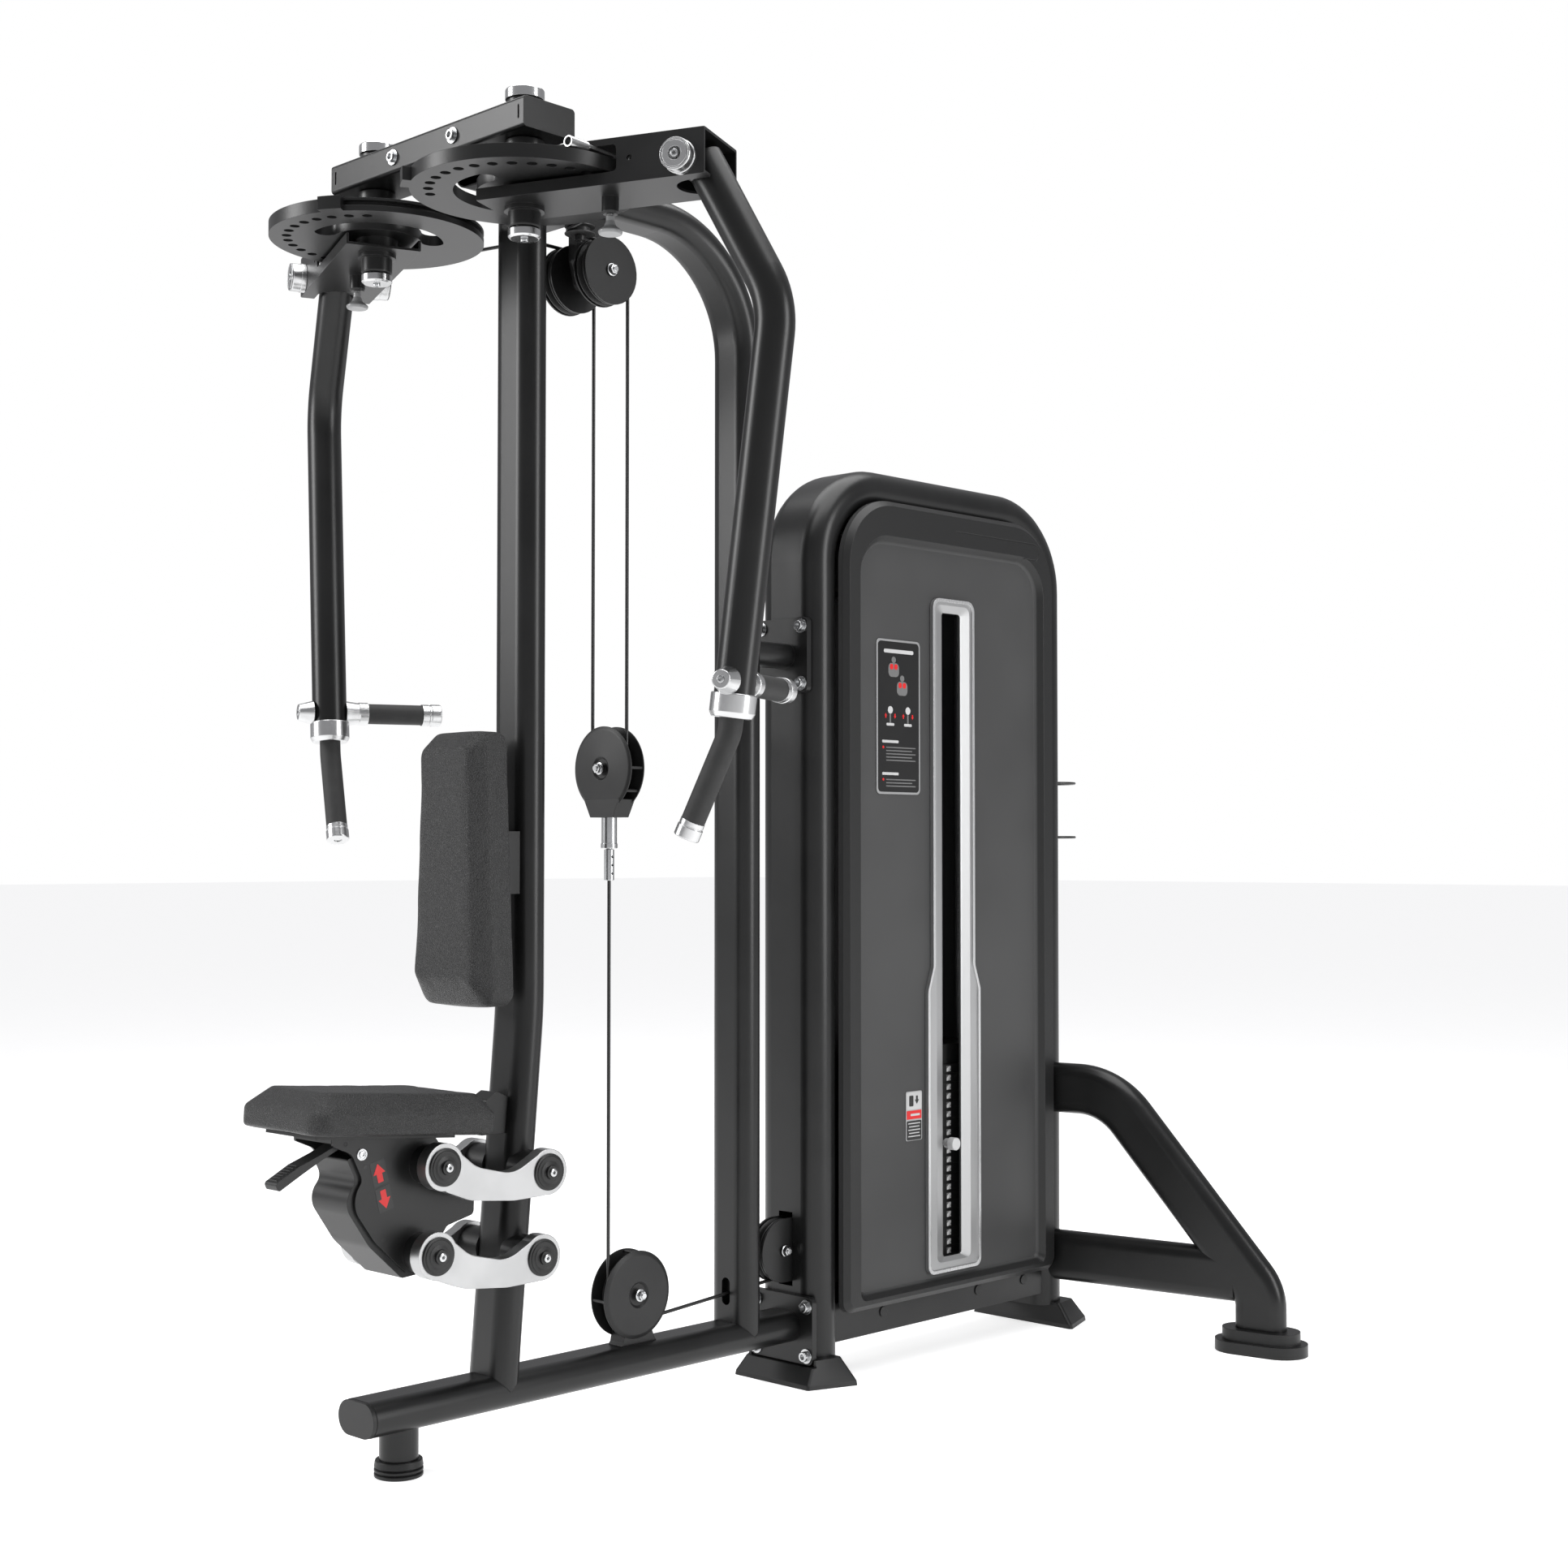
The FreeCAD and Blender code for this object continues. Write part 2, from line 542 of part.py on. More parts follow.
# ---------------------------------------------------------------- side panels
def side_panel(name, slotted):
    """A moulded shroud: raised rounded border around a recessed flat centre, hollow behind."""
    half, low, high = v("panel_half"), v("panel_bottom"), v("panel_top")
    y0, y1 = v("tower_y") - half, v("tower_y") + half
    inner, outer = v("panel_in"), v("panel_out")

    def ring(inset, top_r, low_r):
        return rounded([(y0 + inset, low + inset, low_r), (y1 - inset, low + inset, low_r),
                        (y1 - inset, high - inset, top_r), (y0 + inset, high - inset, top_r)])

    body = doc.addObject("PartDesign::Body", name)
    sk = sketch_on(body, name + "_o", "YZ", ring(0, 126, 22), "panel_in + 0.3")
    pad(body, name + "_base", sk, 11)
    low_face = sketch_on(body, name + "_l1", "YZ", ring(0, 126, 22), inner + 11.3)
    high_face = sketch_on(body, name + "_l2", "YZ", ring(10, 118, 18), outer)
    loft = body.newObject("PartDesign::AdditiveLoft", name + "_round")
    loft.Profile = low_face
    loft.Sections = [high_face]
    loft.Ruled = True
    body.Tip = loft

    def well(inset_y, inset_low, inset_high, top_r, low_r):
        return rounded([(y0 + inset_y, low + inset_low, low_r), (y1 - inset_y, low + inset_low, low_r),
                        (y1 - inset_y, high - inset_high, top_r), (y0 + inset_y, high - inset_high, top_r)])

    rim = sketch_on(body, name + "_w1", "YZ", well(38, 18, 66, 78, 16), outer)
    floor = sketch_on(body, name + "_w2", "YZ", well(52, 30, 80, 66, 10), 80.5)
    sub = body.newObject("PartDesign::SubtractiveLoft", name + "_well")
    sub.Profile = rim
    sub.Sections = [floor]
    sub.Ruled = True
    body.Tip = sub
    sk = sketch_on(body, name + "_b", "YZ", ring(5, 120, 18), inner - 1)
    pocket(body, name + "_back", sk, 4.5, midplane=False, back=True)
    sk = sketch_on(body, name + "_c", "YZ", ring(9, 112, 14) + well(33, 15, 60, 82, 18), inner)
    pocket(body, name + "_channel", sk, 15, midplane=False, back=True)
    if slotted:
        sk = sketch_on(body, name + "_s", "YZ", rounded([(v("tower_y") - v("slot_half"), v("slot_bottom"),
            6), (v("tower_y") + v("slot_half"), v("slot_bottom"), 6), (v("tower_y") + v("slot_half"),
            v("slot_top"), 6), (v("tower_y") - v("slot_half"), v("slot_top"), 6)]), 80)
        pocket(body, name + "_slot", sk, 60)
    return body


keep("side_panel_left", side_panel("side_panel_left", True))
keep("side_panel_right", mirror("side_panel_right", side_panel("side_panel_far", False)))

# ---------------------------------------------------------------- slot bezel
ty = v("tower_y")
bezel = doc.addObject("PartDesign::Body", "slot_bezel")
sk = sketch_on(bezel, "bezel_o", "YZ", rounded([
    (ty - 78, 156, 16), (ty + 78, 156, 16), (ty + 78, 690, 30), (ty + 62, 735, 30), (ty + 62, 1437, 20),
    (ty - 62, 1437, 20), (ty - 62, 735, 30), (ty - 78, 690, 30)]), 80.8)
pad(bezel, "bezel_pad", sk, 5.5)
rim = sketch_on(bezel, "bezel_r1", "YZ", rounded([
    (ty - 50, 175, 12), (ty + 50, 175, 12), (ty + 50, 1425, 14), (ty - 50, 1425, 14)]), 86.3)
hole = sketch_on(bezel, "bezel_r2", "YZ", rounded([
    (ty - 27, 184, 6), (ty + 27, 184, 6), (ty + 27, 1410, 6), (ty - 27, 1410, 6)]), 80.8)
funnel = bezel.newObject("PartDesign::SubtractiveLoft", "bezel_funnel")
funnel.Profile = rim
funnel.Sections = [hole]
funnel.Ruled = True
bezel.Tip = funnel
ring_sk = sketch_on(bezel, "bezel_ring", "YZ", rounded([
    (ty - 78, 156, 16), (ty + 78, 156, 16), (ty + 78, 690, 30), (ty + 62, 735, 30), (ty + 62, 1437, 20),
    (ty - 62, 1437, 20), (ty - 62, 735, 30), (ty - 78, 690, 30)]) + rounded([
        (ty - 72, 162, 12), (ty + 72, 162, 12), (ty + 72, 692, 28), (ty + 56, 737, 28), (ty + 56, 1431, 15),
        (ty - 56, 1431, 15), (ty - 56, 737, 28), (ty - 72, 692, 28)]), 86.3)
pad(bezel, "bezel_ring_pad", ring_sk, 3)

# ---------------------------------------------------------------- placard and weight label
placard = prism("placard", "YZ", rounded([(1018, 1060, 10), (1142, 1060, 10), (1142, 1349, 10),
    (1018, 1349, 10)]), 1.6, 80.8)
label = prism("weight_label", "YZ", rounded([(1100, 412, 4), (1146, 412, 4), (1146, 504, 4),
    (1100, 504, 4)]), 1.0, 80.8)
keep("panel_trim", group("panel_trim", [bezel, placard, label]))

# ---------------------------------------------------------------- bottle holder
REAR = v("tower_y") + v("tower_half")
holder_parts = [prism("holder_plate", "XZ", rounded([(-14, 955, 4), (14, 955, 4), (14, 1125, 4),
    (-14, 1125, 4)]), 3, -REAR - 0.3, back=True)]
for i, z in enumerate((983, 1095)):
    torus = doc.addObject("Part::Torus", "holder_ring_%d" % i)
    torus.Radius1 = 48
    torus.Radius2 = 2.5
    place(torus, (0, REAR + 51, z))
    holder_parts.append(torus)
holder_parts.append(cylinder("holder_bar", 2.5, 96, (0, REAR + 3, 983), "y"))
holder_parts.append(cylinder("holder_cross", 2.5, 94, (-47, REAR + 51, 983), "x"))
keep("bottle_holder", fuse("bottle_holder", holder_parts))

# ---------------------------------------------------------------- guide rods, cushions, resting plates
rods = []
cushions = []
for i, s in enumerate((-1, 1)):
    y = v("tower_y") + s * v("rod_dy")
    rods.append(cylinder("guide_rod_%d" % i, "rod_r", "clamp_z + 14 - rail_top", (0, y, "rail_top")))
    pad_body = turned("cushion_%d" % i, [(10.3, 0), (26, 0, 3), (26, 14), (22, 20), (26, 26), (26, 43.5, 3),
                                         (10.3, 43.5)], (0, y, v("rail_top") + 0.2))
    cushions.append(pad_body)
keep("guide_rods", group("guide_rods", rods))
keep("stack_cushions", group("stack_cushions", cushions))


def weight_plate(name, z):
    """One steel plate of the stack with two rod holes, a stem hole and the selector bore."""
    body = doc.addObject("PartDesign::Body", name)
    half_y, half_x = v("plate_len") / 2, v("plate_dep") / 2
    items = rounded([(-half_x, v("tower_y") - half_y, 8), (half_x, v("tower_y") - half_y, 8),
                     (half_x, v("tower_y") + half_y, 8), (-half_x, v("tower_y") + half_y, 8)])
    items += circle(0, v("tower_y"), 16)
    for s in (-1, 1):
        items += circle(0, v("tower_y") + s * v("rod_dy"), 12)
    sk = sketch_on(body, name + "_o", "XY", items, z)
    pad(body, name + "_p", sk, "plate_t")
    sk = sketch_on(body, name + "_h", "YZ", circle(v("tower_y"), z + v("plate_t") / 2, 5), 40)
    pocket(body, name + "_c", sk, 130)
    return body


PIN_PLATE = 12
plates = [weight_plate("plate_%02d" % i, v("stack_z") + i * v("plate_pitch")) for i in range(21)]
keep("resting_plates", group("resting_plates", plates[:PIN_PLATE]))
keep("lifted_plates", group("lifted_plates", plates[PIN_PLATE:]))
STACK_TOP = v("stack_z") + 21 * v("plate_pitch")

# ---------------------------------------------------------------- stack head with its selector stem
head_block = box("head_block", (100, 290, 38), (-50, v("tower_y") - 145, STACK_TOP))
head_tools = [cylinder("head_rod_hole_%d" % i, 10.6, 60, (0, v("tower_y") + s * v("rod_dy"), STACK_TOP - 5))
              for i, s in enumerate((-1, 1))]
head_drilled = cut("head_drilled", head_block, group("head_holes", head_tools))
stem = cylinder("stem", 12, STACK_TOP - v("stack_z") - 4, (0, v("tower_y"), v("stack_z") + 4))
eye = cylinder("head_eye", 11, 26, (0, v("tower_y"), STACK_TOP + 38))
stem_holes = [cylinder("stem_hole_%d" % i, 5, 60, (-30, v("tower_y"),
                       v("stack_z") + i * v("plate_pitch") + v("plate_t") / 2), "x") for i in range(21)]
stem_drilled = cut("stem_drilled", stem, group("stem_holes", stem_holes))
keep("stack_head", fuse("stack_head", [head_drilled, stem_drilled, eye]))

PIN_Z = v("stack_z") + PIN_PLATE * v("plate_pitch") + v("plate_t") / 2
pin_rod = cylinder("pin_rod", 4.7, 92, (-22, v("tower_y"), PIN_Z), "x")
pin_knob = turned("pin_knob", [(0, 0), (9, 0, 1), (9, 8, 1), (12, 12, 1.5), (12, 27, 2), (0, 27)],
                  (66, v("tower_y"), PIN_Z), "x")
keep("selector_pin", fuse("selector_pin", [pin_rod, pin_knob]))

# ---------------------------------------------------------------- pivot shafts, bosses and caps
pivot_parts = []
for s in (-1, 1):
    tag = "l" if s > 0 else "r"
    shaft = cylinder("pivot_shaft_" + tag, "shaft_r", 220, (s * v("pivot_x"), "pivot_y", 1884))
    boss = turned("pivot_boss_" + tag, [(15, 0), (30, 0), (30, 28, 2), (15, 28)],
                  (s * v("pivot_x"), v("pivot_y"), 2006))
    top = turned("pivot_top_" + tag, [(0, 0), (27, 0), (27, 14), (30, 16), (30, 32, 3), (0, 32)],
                 (s * v("pivot_x"), v("pivot_y"), 2081.0))
    low = turned("pivot_low_" + tag, [(0, 0), (22, 0, 1.5), (25, 3), (25, 14, 1), (0, 14)],
                 (s * v("pivot_x"), v("pivot_y"), 1884))
    pivot_parts.append(fuse("pivot_" + tag, [shaft, boss, top, low]))
keep("pivot_shafts", group("pivot_shafts", pivot_parts))

# ---------------------------------------------------------------- cam of the left side (+X)
RAD = math.radians


def polar(radius, degrees, x0=0.0, y0=0.0):
    return Vector(x0 + radius * math.cos(RAD(degrees)), y0 + radius * math.sin(RAD(degrees)), 0)


def sector(x0, y0, r_in, r_out, a0, a1):
    """An annular sector from angle a0 to a1, anticlockwise."""
    mid = (a0 + a1) / 2
    return [
        Part.Arc(polar(r_out, a0, x0, y0), polar(r_out, mid, x0, y0), polar(r_out, a1, x0, y0)),
        Part.LineSegment(polar(r_out, a1, x0, y0), polar(r_in, a1, x0, y0)),
        Part.Arc(polar(r_in, a1, x0, y0), polar(r_in, mid, x0, y0), polar(r_in, a0, x0, y0)),
        Part.LineSegment(polar(r_in, a0, x0, y0), polar(r_out, a0, x0, y0)),
    ]


PX, PY = v("pivot_x"), v("pivot_y")
cam = doc.addObject("PartDesign::Body", "cam_body")
sk = sketch_on(cam, "cam_disc", "XY", circle(PX, PY, v("cam_r")), "cam_z", radius="cam_r")
pad(cam, "cam_disc_pad", sk, "cam_t")
sk = sketch_on(cam, "cam_lug", "XY", sector(PX, PY, v("cam_r") - 12, v("lug_r"), 233, 245), "cam_z")
pad(cam, "cam_lug_pad", sk, "cam_t + groove_h + flange_t")
sk = sketch_on(cam, "cam_core", "XY", circle(PX, PY, v("groove_r")), "cam_z + cam_t", radius="groove_r")
pad(cam, "cam_core_pad", sk, "groove_h")
sk = sketch_on(cam, "cam_flange", "XY", sector(PX, PY, v("groove_r") - 14, v("cam_r"), 45, 239),
               "cam_z + cam_t + groove_h")
pad(cam, "cam_flange_pad", sk, "flange_t")
sk = sketch_on(cam, "cam_rim", "XY", sector(PX, PY, v("groove_r") - 4, v("cam_r"), 239, 400),
    "cam_z + cam_t")
pad(cam, "cam_rim_pad", sk, "groove_h + flange_t")
sk = sketch_on(cam, "cam_hub", "XY", circle(PX, PY, 34), 1938)
pad(cam, "cam_hub_pad", sk, 56)
holes = []
for i in range(16):
    c = polar(v("hole_ring_r"), 34 - i * v("hole_step"), PX, PY)
    holes += circle(c.x, c.y, 8)
sk = sketch_on(cam, "cam_holes", "XY", holes, 1965)
pocket(cam, "cam_holes_cut", sk, 60)
k0, k1, kr0, kr1 = 130, 280, 72, 108
km, kh = (kr0 + kr1) / 2, (kr1 - kr0) / 2
kidney = [
    Part.Arc(polar(kr1, k0, PX, PY), polar(kr1, (k0 + k1) / 2, PX, PY), polar(kr1, k1, PX, PY)),
    Part.Arc(polar(kr1, k1, PX, PY), polar(km, k1, PX, PY) + polar(kh, k1 + 90), polar(kr0, k1, PX, PY)),
    Part.Arc(polar(kr0, k1, PX, PY), polar(kr0, (k0 + k1) / 2, PX, PY), polar(kr0, k0, PX, PY)),
    Part.Arc(polar(kr0, k0, PX, PY), polar(km, k0, PX, PY) + polar(kh, k0 - 90), polar(kr1, k0, PX, PY)),
]
sk = sketch_on(cam, "cam_kidney", "XY", kidney, 1965)
pocket(cam, "cam_kidney_cut", sk, 60)
sk = sketch_on(cam, "cam_bore", "XY", circle(PX, PY, v("bore_r")), 1965, radius="bore_r")
pocket(cam, "cam_bore_cut", sk, 90)
keep("cam_left", cam)
keep("cam_right", mirror("cam_right", cam))

# ---------------------------------------------------------------- carrier of the left side
SWING = Placement(Vector(PX, PY, 0), Rotation(Vector(0, 0, 1), v("swing")))
INW, OUTW, HALF, CW = -v("plate_in"), v("plate_out"), v("chan_half"), v("chan_wall")
LOW, HIGH = v("chan_bottom"), v("chan_top")

low_plate = doc.addObject("PartDesign::Body", "carrier_low")
sk = sketch_on(low_plate, "carrier_low_o", "XY", rounded([
    (INW, -HALF, 4), (OUTW, -HALF, 3), (OUTW, -37, 2), (258, -37, 36), (258, 37, 36), (OUTW, 37, 2),
    (OUTW, HALF, 3), (INW, HALF, 4)]), LOW)
pad(low_plate, "carrier_low_p", sk, "chan_wall")
sk = sketch_on(low_plate, "carrier_low_b", "XY", circle(0, 0, v("bore_r")) + circle(145, 0, 5.15), LOW)
pocket(low_plate, "carrier_low_c", sk, 30)
top_plate = doc.addObject("PartDesign::Body", "carrier_top")
sk = sketch_on(top_plate, "carrier_top_o", "XY", rounded([
    (INW, -HALF, 4), (OUTW, -HALF, 3), (OUTW, HALF, 3), (INW, HALF, 4)]), "chan_top - chan_wall")
pad(top_plate, "carrier_top_p", sk, "chan_wall")
sk = sketch_on(top_plate, "carrier_top_b", "XY", circle(0, 0, v("bore_r")), HIGH)
pocket(top_plate, "carrier_top_c", sk, 30)
walls = []
for s in (-1, 1):
    tag = "a" if s < 0 else "b"
    wall = doc.addObject("PartDesign::Body", "carrier_wall_" + tag)
    y_out = s * HALF
    x1, x0 = OUTW - 0.5, INW + 0.5
    z0, z1 = LOW + 1, HIGH - 1
    sk = sketch_on(wall, "carrier_wall_o_" + tag, "XZ", rounded([(x0, z0), (x1, z0), (x1, z1), (x0, z1),
        (x0, z1 - 9), (v("slot_in"), z1 - 9, 7), (v("slot_in"), z0 + 17, 7), (x0, z0 + 17)]),
        -y_out if s > 0 else -(y_out + CW))
    pad(wall, "carrier_wall_p_" + tag, sk, "chan_wall")
    sk = sketch_on(wall, "carrier_wall_b_" + tag, "XZ", circle(v("axle_x"), v("axle_z"), 8.08)
                   + circle(205, 1968, 4), -y_out)
    pocket(wall, "carrier_wall_c_" + tag, sk, 20)
    walls.append(wall)
housing = turned("carrier_housing", [(15.05, 0), (24, 0, 1.5), (25, 3), (25, 24), (31, 25), (31, 33),
    (15.05, 33)], (0, 0, 1900))
plunger_nut = turned("plunger_nut", [(5.15, 0), (11, 0, 1), (13, 4), (13, 27), (5.15, 27)], (145, 0, 1906))
lever_stud = turned("lever_stud", [(0, 0), (6.5, 0, 1), (6.5, 2.4), (4, 2.4), (4, 18), (0, 18)],
    (165, 8, 1978.2))
carrier = fuse("carrier_body", [low_plate, top_plate] + walls + [housing, plunger_nut, lever_stud])
carrier.Placement = SWING
keep("carrier_left", carrier)
keep("carrier_right", mirror("carrier_right", carrier))

# ---------------------------------------------------------------- plunger and release lever
plunger = turned("plunger_body", [(0, 0), (17, 0, 2), (19, 5, 3), (10, 12, 4), (6.5, 20), (6.5, 27),
    (5, 28), (5, 72.5), (7.5, 72.5), (7.5, 77.5, 1.5), (0, 78.5)], (0, 0, 0))
plunger_at = group("plunger_at", [place(plunger, (145, 0, 1876))])
plunger_at.Placement = SWING
keep("plunger_left", plunger_at)
keep("plunger_right", mirror("plunger_right", plunger_at))

lever_bar = prism("lever_bar", "XY", rounded([(158, 6, 4), (173, 6, 4), (149, -80, 2), (135, -77, 2)]),
    5, 1983)
lever_eye = cylinder("lever_eye", 10, 9, (165, 8, 1981))
lever_tip = cylinder("lever_tip", 8.5, 38, (0, 0, 0), "y")
lever_core = cylinder("lever_core", 6.2, 27, (0, -1, 0), "y")
lever_sleeve = cut("lever_sleeve", lever_tip, lever_core)
lever_sleeve.Placement = Placement(Vector(131, -112, 1985.5), Rotation(Vector(0, 0, 1), -16))
lever_stud_hole = cylinder("lever_stud_hole", 4.05, 30, (165, 8, 1970))
lever = cut("lever_body", fuse("lever_raw", [lever_bar, lever_eye, lever_sleeve]), lever_stud_hole)
lever.Placement = SWING
keep("release_lever_left", lever)
keep("release_lever_right", mirror("release_lever_right", lever))

# ---------------------------------------------------------------- hanging arm of the left side
AX, AZ = v("axle_x"), v("axle_z")
arm_path = [(296, 1972), (415, 1750, 150), (345, 1166)]
arm_items = rounded(arm_path, closed=False)
arm_spine = outline_wire("arm_path", arm_items, (0, 0, 0), XZ)
arm_dir = Vector(415 - 296, 0, 1750 - 1972).normalize()
arm_rot = Rotation(Vector(0, 1, 0), arm_dir.cross(Vector(0, 1, 0)), arm_dir, "ZXY")
arm_outer = outline_wire("arm_outer", circle(0, 0, v("arm_r")), (296, 0, 1972), arm_rot)
arm_inner = outline_wire("arm_inner", circle(0, 0, v("arm_r") - 4), (296, 0, 1972), arm_rot)
arm_solid = sweep("arm_solid", arm_outer, arm_spine, len(arm_items))
arm_void = sweep("arm_void", arm_inner, arm_spine, len(arm_items))
hub_cover = cylinder("arm_hub", 20, 104, (AX, -52, AZ), "y")
axle_bore = cylinder("axle_bore", 8.05, 120, (AX, -60, AZ), "y")
cross_bore = cylinder("cross_bore", 5.1, 90, (349, -45, "cross_z"), "y")
arm_hollow = cut("arm_hollow", arm_void, hub_cover)
arm_joined = fuse("arm_joined", [arm_solid, hub_cover])
arm_bored = cut("arm_bored", cut("arm_walls", arm_joined, arm_hollow), group("arm_bores", [axle_bore,
    cross_bore]))
arm = group("arm_body", [arm_bored])
arm.Placement = SWING
keep("arm_tube_left", arm)
keep("arm_tube_right", mirror("arm_tube_right", arm))

tail = Vector(345 - 415, 0, 1166 - 1750).normalize()
tail_rot = Rotation(Vector(0, 1, 0), tail.cross(Vector(0, 1, 0)), tail, "ZXY")
end = Vector(345, 0, 1166)
collar = turned("collar", [(0, -16), (34, -16, 2), (34, 12, 3), (30, 20, 3), (0, 20)])
collar.Placement = Placement(end, tail_rot)
grip_path = [(end.x + tail.x * 20.3, end.z + tail.z * 20.3), (339.5, 1124, 60), (281.6, 997)]
grip_items = rounded(grip_path, closed=False)
grip_spine = outline_wire("grip_path", grip_items, (0, 0, 0), XZ)
grip_start = Vector(grip_path[0][0], 0, grip_path[0][1])
grip_rot = Rotation(Vector(0, 1, 0), (Vector(339.5, 0, 1124) - grip_start).normalize().cross(Vector(0, 1,
    0)), (Vector(339.5, 0, 1124) - grip_start).normalize(), "ZXY")
grip_outer = outline_wire("grip_outer", circle(0, 0, v("grip_r")), tuple(grip_start), grip_rot)
grip_core_sk = outline_wire("grip_core_sk", circle(0, 0, 14), tuple(grip_start), grip_rot)
low_grip_solid = sweep("low_grip_solid", grip_outer, grip_spine, len(grip_items))
low_core = sweep("low_core", grip_core_sk, grip_spine, len(grip_items))
low_grip = cut("low_grip", low_grip_solid, low_core)
tip_dir = Vector(281.6 - 339.5, 0, 997 - 1124).normalize()
tip_rot = Rotation(Vector(0, 1, 0), tip_dir.cross(Vector(0, 1, 0)), tip_dir, "ZXY")
low_cap = turned("low_cap", [(0, 0), (18.5, 0), (18.5, 7), (17.9, 7.5), (17.9, 9), (19.5, 9.5),
    (19.5, 27, 2), (7, 27), (7, 25.5), (0, 25.5)])
low_cap.Placement = Placement(Vector(281.6, 0, 997), tip_rot)
cross_grip = turned("cross_grip", [(11, 67.2), (18, 67.2), (18, 165.8), (11, 165.8)])
cross_metal = turned("cross_metal", [(0, 0), (5, 0), (5, 27), (22, 27), (19, 50), (20, 52), (20, 67),
    (10.9, 67), (10.9, 166), (19.5, 166), (19.5, 178), (18.6, 179), (18.6, 182), (20, 183), (20, 200, 2),
    (0, 200)])
front_cone = turned("front_cone", [(0, 0), (5, 0), (5, 30), (21, 30), (14, 56, 2), (6, 56), (6, 53),
    (0, 53)])
for piece, spin in ((cross_grip, -90), (cross_metal, -90), (front_cone, 90)):
    piece.Placement = Placement(Vector(349, 0, v("cross_z")), Rotation(Vector(1, 0, 0), spin))
axle = cylinder("axle", "axle_r", 150, (AX, -75, AZ), "y")
axle_parts = [axle]
for s in (-1, 1):
    name = "axle_cap_" + ("a" if s < 0 else "b")
    cap = turned(name, [(0, 61.4), (25, 61.4), (25, 69.5), (24, 70), (24, 86, 2.5), (10, 86), (10, 84.5),
        (0, 84.5)])
    cap.Placement = Placement(Vector(AX, 0, AZ), Rotation(Vector(1, 0, 0), -90 * s))
    axle_parts.append(cap)
metal_raw = group("metal_raw", [cut("collar_trim", collar, arm_solid), fuse("low_metal", [low_core,
    low_cap]), cut("cross_trim", fuse("cross_joined", [cross_metal, front_cone]), arm_bored),
    fuse("axle_set", axle_parts)])
metal_raw.Placement = SWING
keep("arm_metal_left", metal_raw)
keep("arm_metal_right", mirror("arm_metal_right", metal_raw))
grips = group("grips_body", [low_grip, cross_grip])
grips.Placement = SWING
keep("hand_grips_left", grips)
keep("hand_grips_right", mirror("hand_grips_right", grips))


# ---------------------------------------------------------------- pulley wheels
def wheel(name, groove, rim, at, along, bore=6.05, half=8.5):
    """A grooved wheel; the cable lies on the floor of its groove."""
    floor = groove - v("cable_r") - 0.15
    profile = [(bore, -half), (bore + 9, -half), (bore + 12, -half + 3), (floor - 6, -half + 3),
        (floor - 3, -half), (rim, -half, 1), (rim, -half + 2), (floor, -3.3), (floor, 3.3), (rim, half - 2),
        (rim, half, 1), (floor - 3, half), (floor - 6, half - 3), (bore + 12, half - 3), (bore + 9, half),
        (bore, half)]
    return turned(name, profile, at, along)


WR, WRIM = v("wheel_r"), v("wheel_rim")
FALL_Y = v("top_y") + WR
pair = [wheel("top_wheel_%d" % i, WR, WRIM, (s * v("top_x"), v("top_y"), v("cable_z") - WR), "x")
        for i, s in enumerate((-1, 1))]
keep("top_wheels", group("top_wheels", pair))
for tag, s in (("left", 1), ("right", -1)):
    spot = (s * v("guide_x"), v("guide_y"), v("cable_z"))
    keep("guide_wheel_" + tag, wheel("guide_wheel_" + tag, v("guide_r"), v("guide_rim"), spot,
        "z", 5.05, 7))
keep("float_wheel", wheel("float_wheel", v("float_r"), v("float_rim"), (0, FALL_Y, v("float_z")), "y"))
for name, y, z in (("base_wheel", v("base_y"), v("base_z")), ("low_tower_wheel", v("low_y"), v("low_z")),
                   ("head_tower_wheel", v("head_y"), v("head_z")),
                   ("stack_wheel", v("tower_y") - WR, v("head_z"))):
    keep(name, wheel(name, WR, WRIM, (0, y, z), "x"))


# ---------------------------------------------------------------- brackets and axles of the fixed wheels
def cheek(name, cy, cz, radius, x, thick, tail_pts):
    """A side plate: a disc about the wheel axle joined to a tail."""
    disc = cylinder(name + "_disc", radius, thick, (x, cy, cz), "x")
    if not tail_pts:
        return disc
    arm_plate = prism(name + "_tail", "YZ", rounded(tail_pts), thick, x)
    return fuse(name, [disc, arm_plate])


bracket_parts = []
TZ = v("cable_z") - WR
web = prism("head_web", "YZ", rounded([(350, 2019.2), (428, 2019.2), (428, 1960, 20), (404, 1893, 12),
    (362, 1893, 12), (350, 1940, 10)]), 24, -12)
head_set = [web, cylinder("head_axle", 6, 124, (-62, "top_y", TZ), "x")]
for s in (-1, 1):
    for i, x in enumerate((28, 55)):
        x0 = x if s > 0 else -x - 3
        head_set.append(cylinder("head_disc_%d%s" % (i, "a" if s > 0 else "b"), 57, 3, (x0, "top_y", TZ),
            "x"))
    name = "head_nut_" + ("a" if s > 0 else "b")
    nut = turned(name, [(0, 0), (9, 0), (9, 7, 1), (0, 7)])
    nut.Placement = Placement(Vector(s * 58, v("top_y"), TZ), Rotation(Vector(0, 1, 0), 90 * s))
    head_set.append(nut)
    head_set.append(cylinder("head_sleeve_" + ("a" if s > 0 else "b"), 9, 16.5,
                             (12 if s > 0 else -28.5, "top_y", TZ), "x"))
guide_plate = box("guide_plate", (180, 60, 6), (-90, 284, 1996))
guide_block = box("guide_block", (34, 44, 17.2), (-17, 292, 2002))
guide_set = [guide_plate, guide_block]
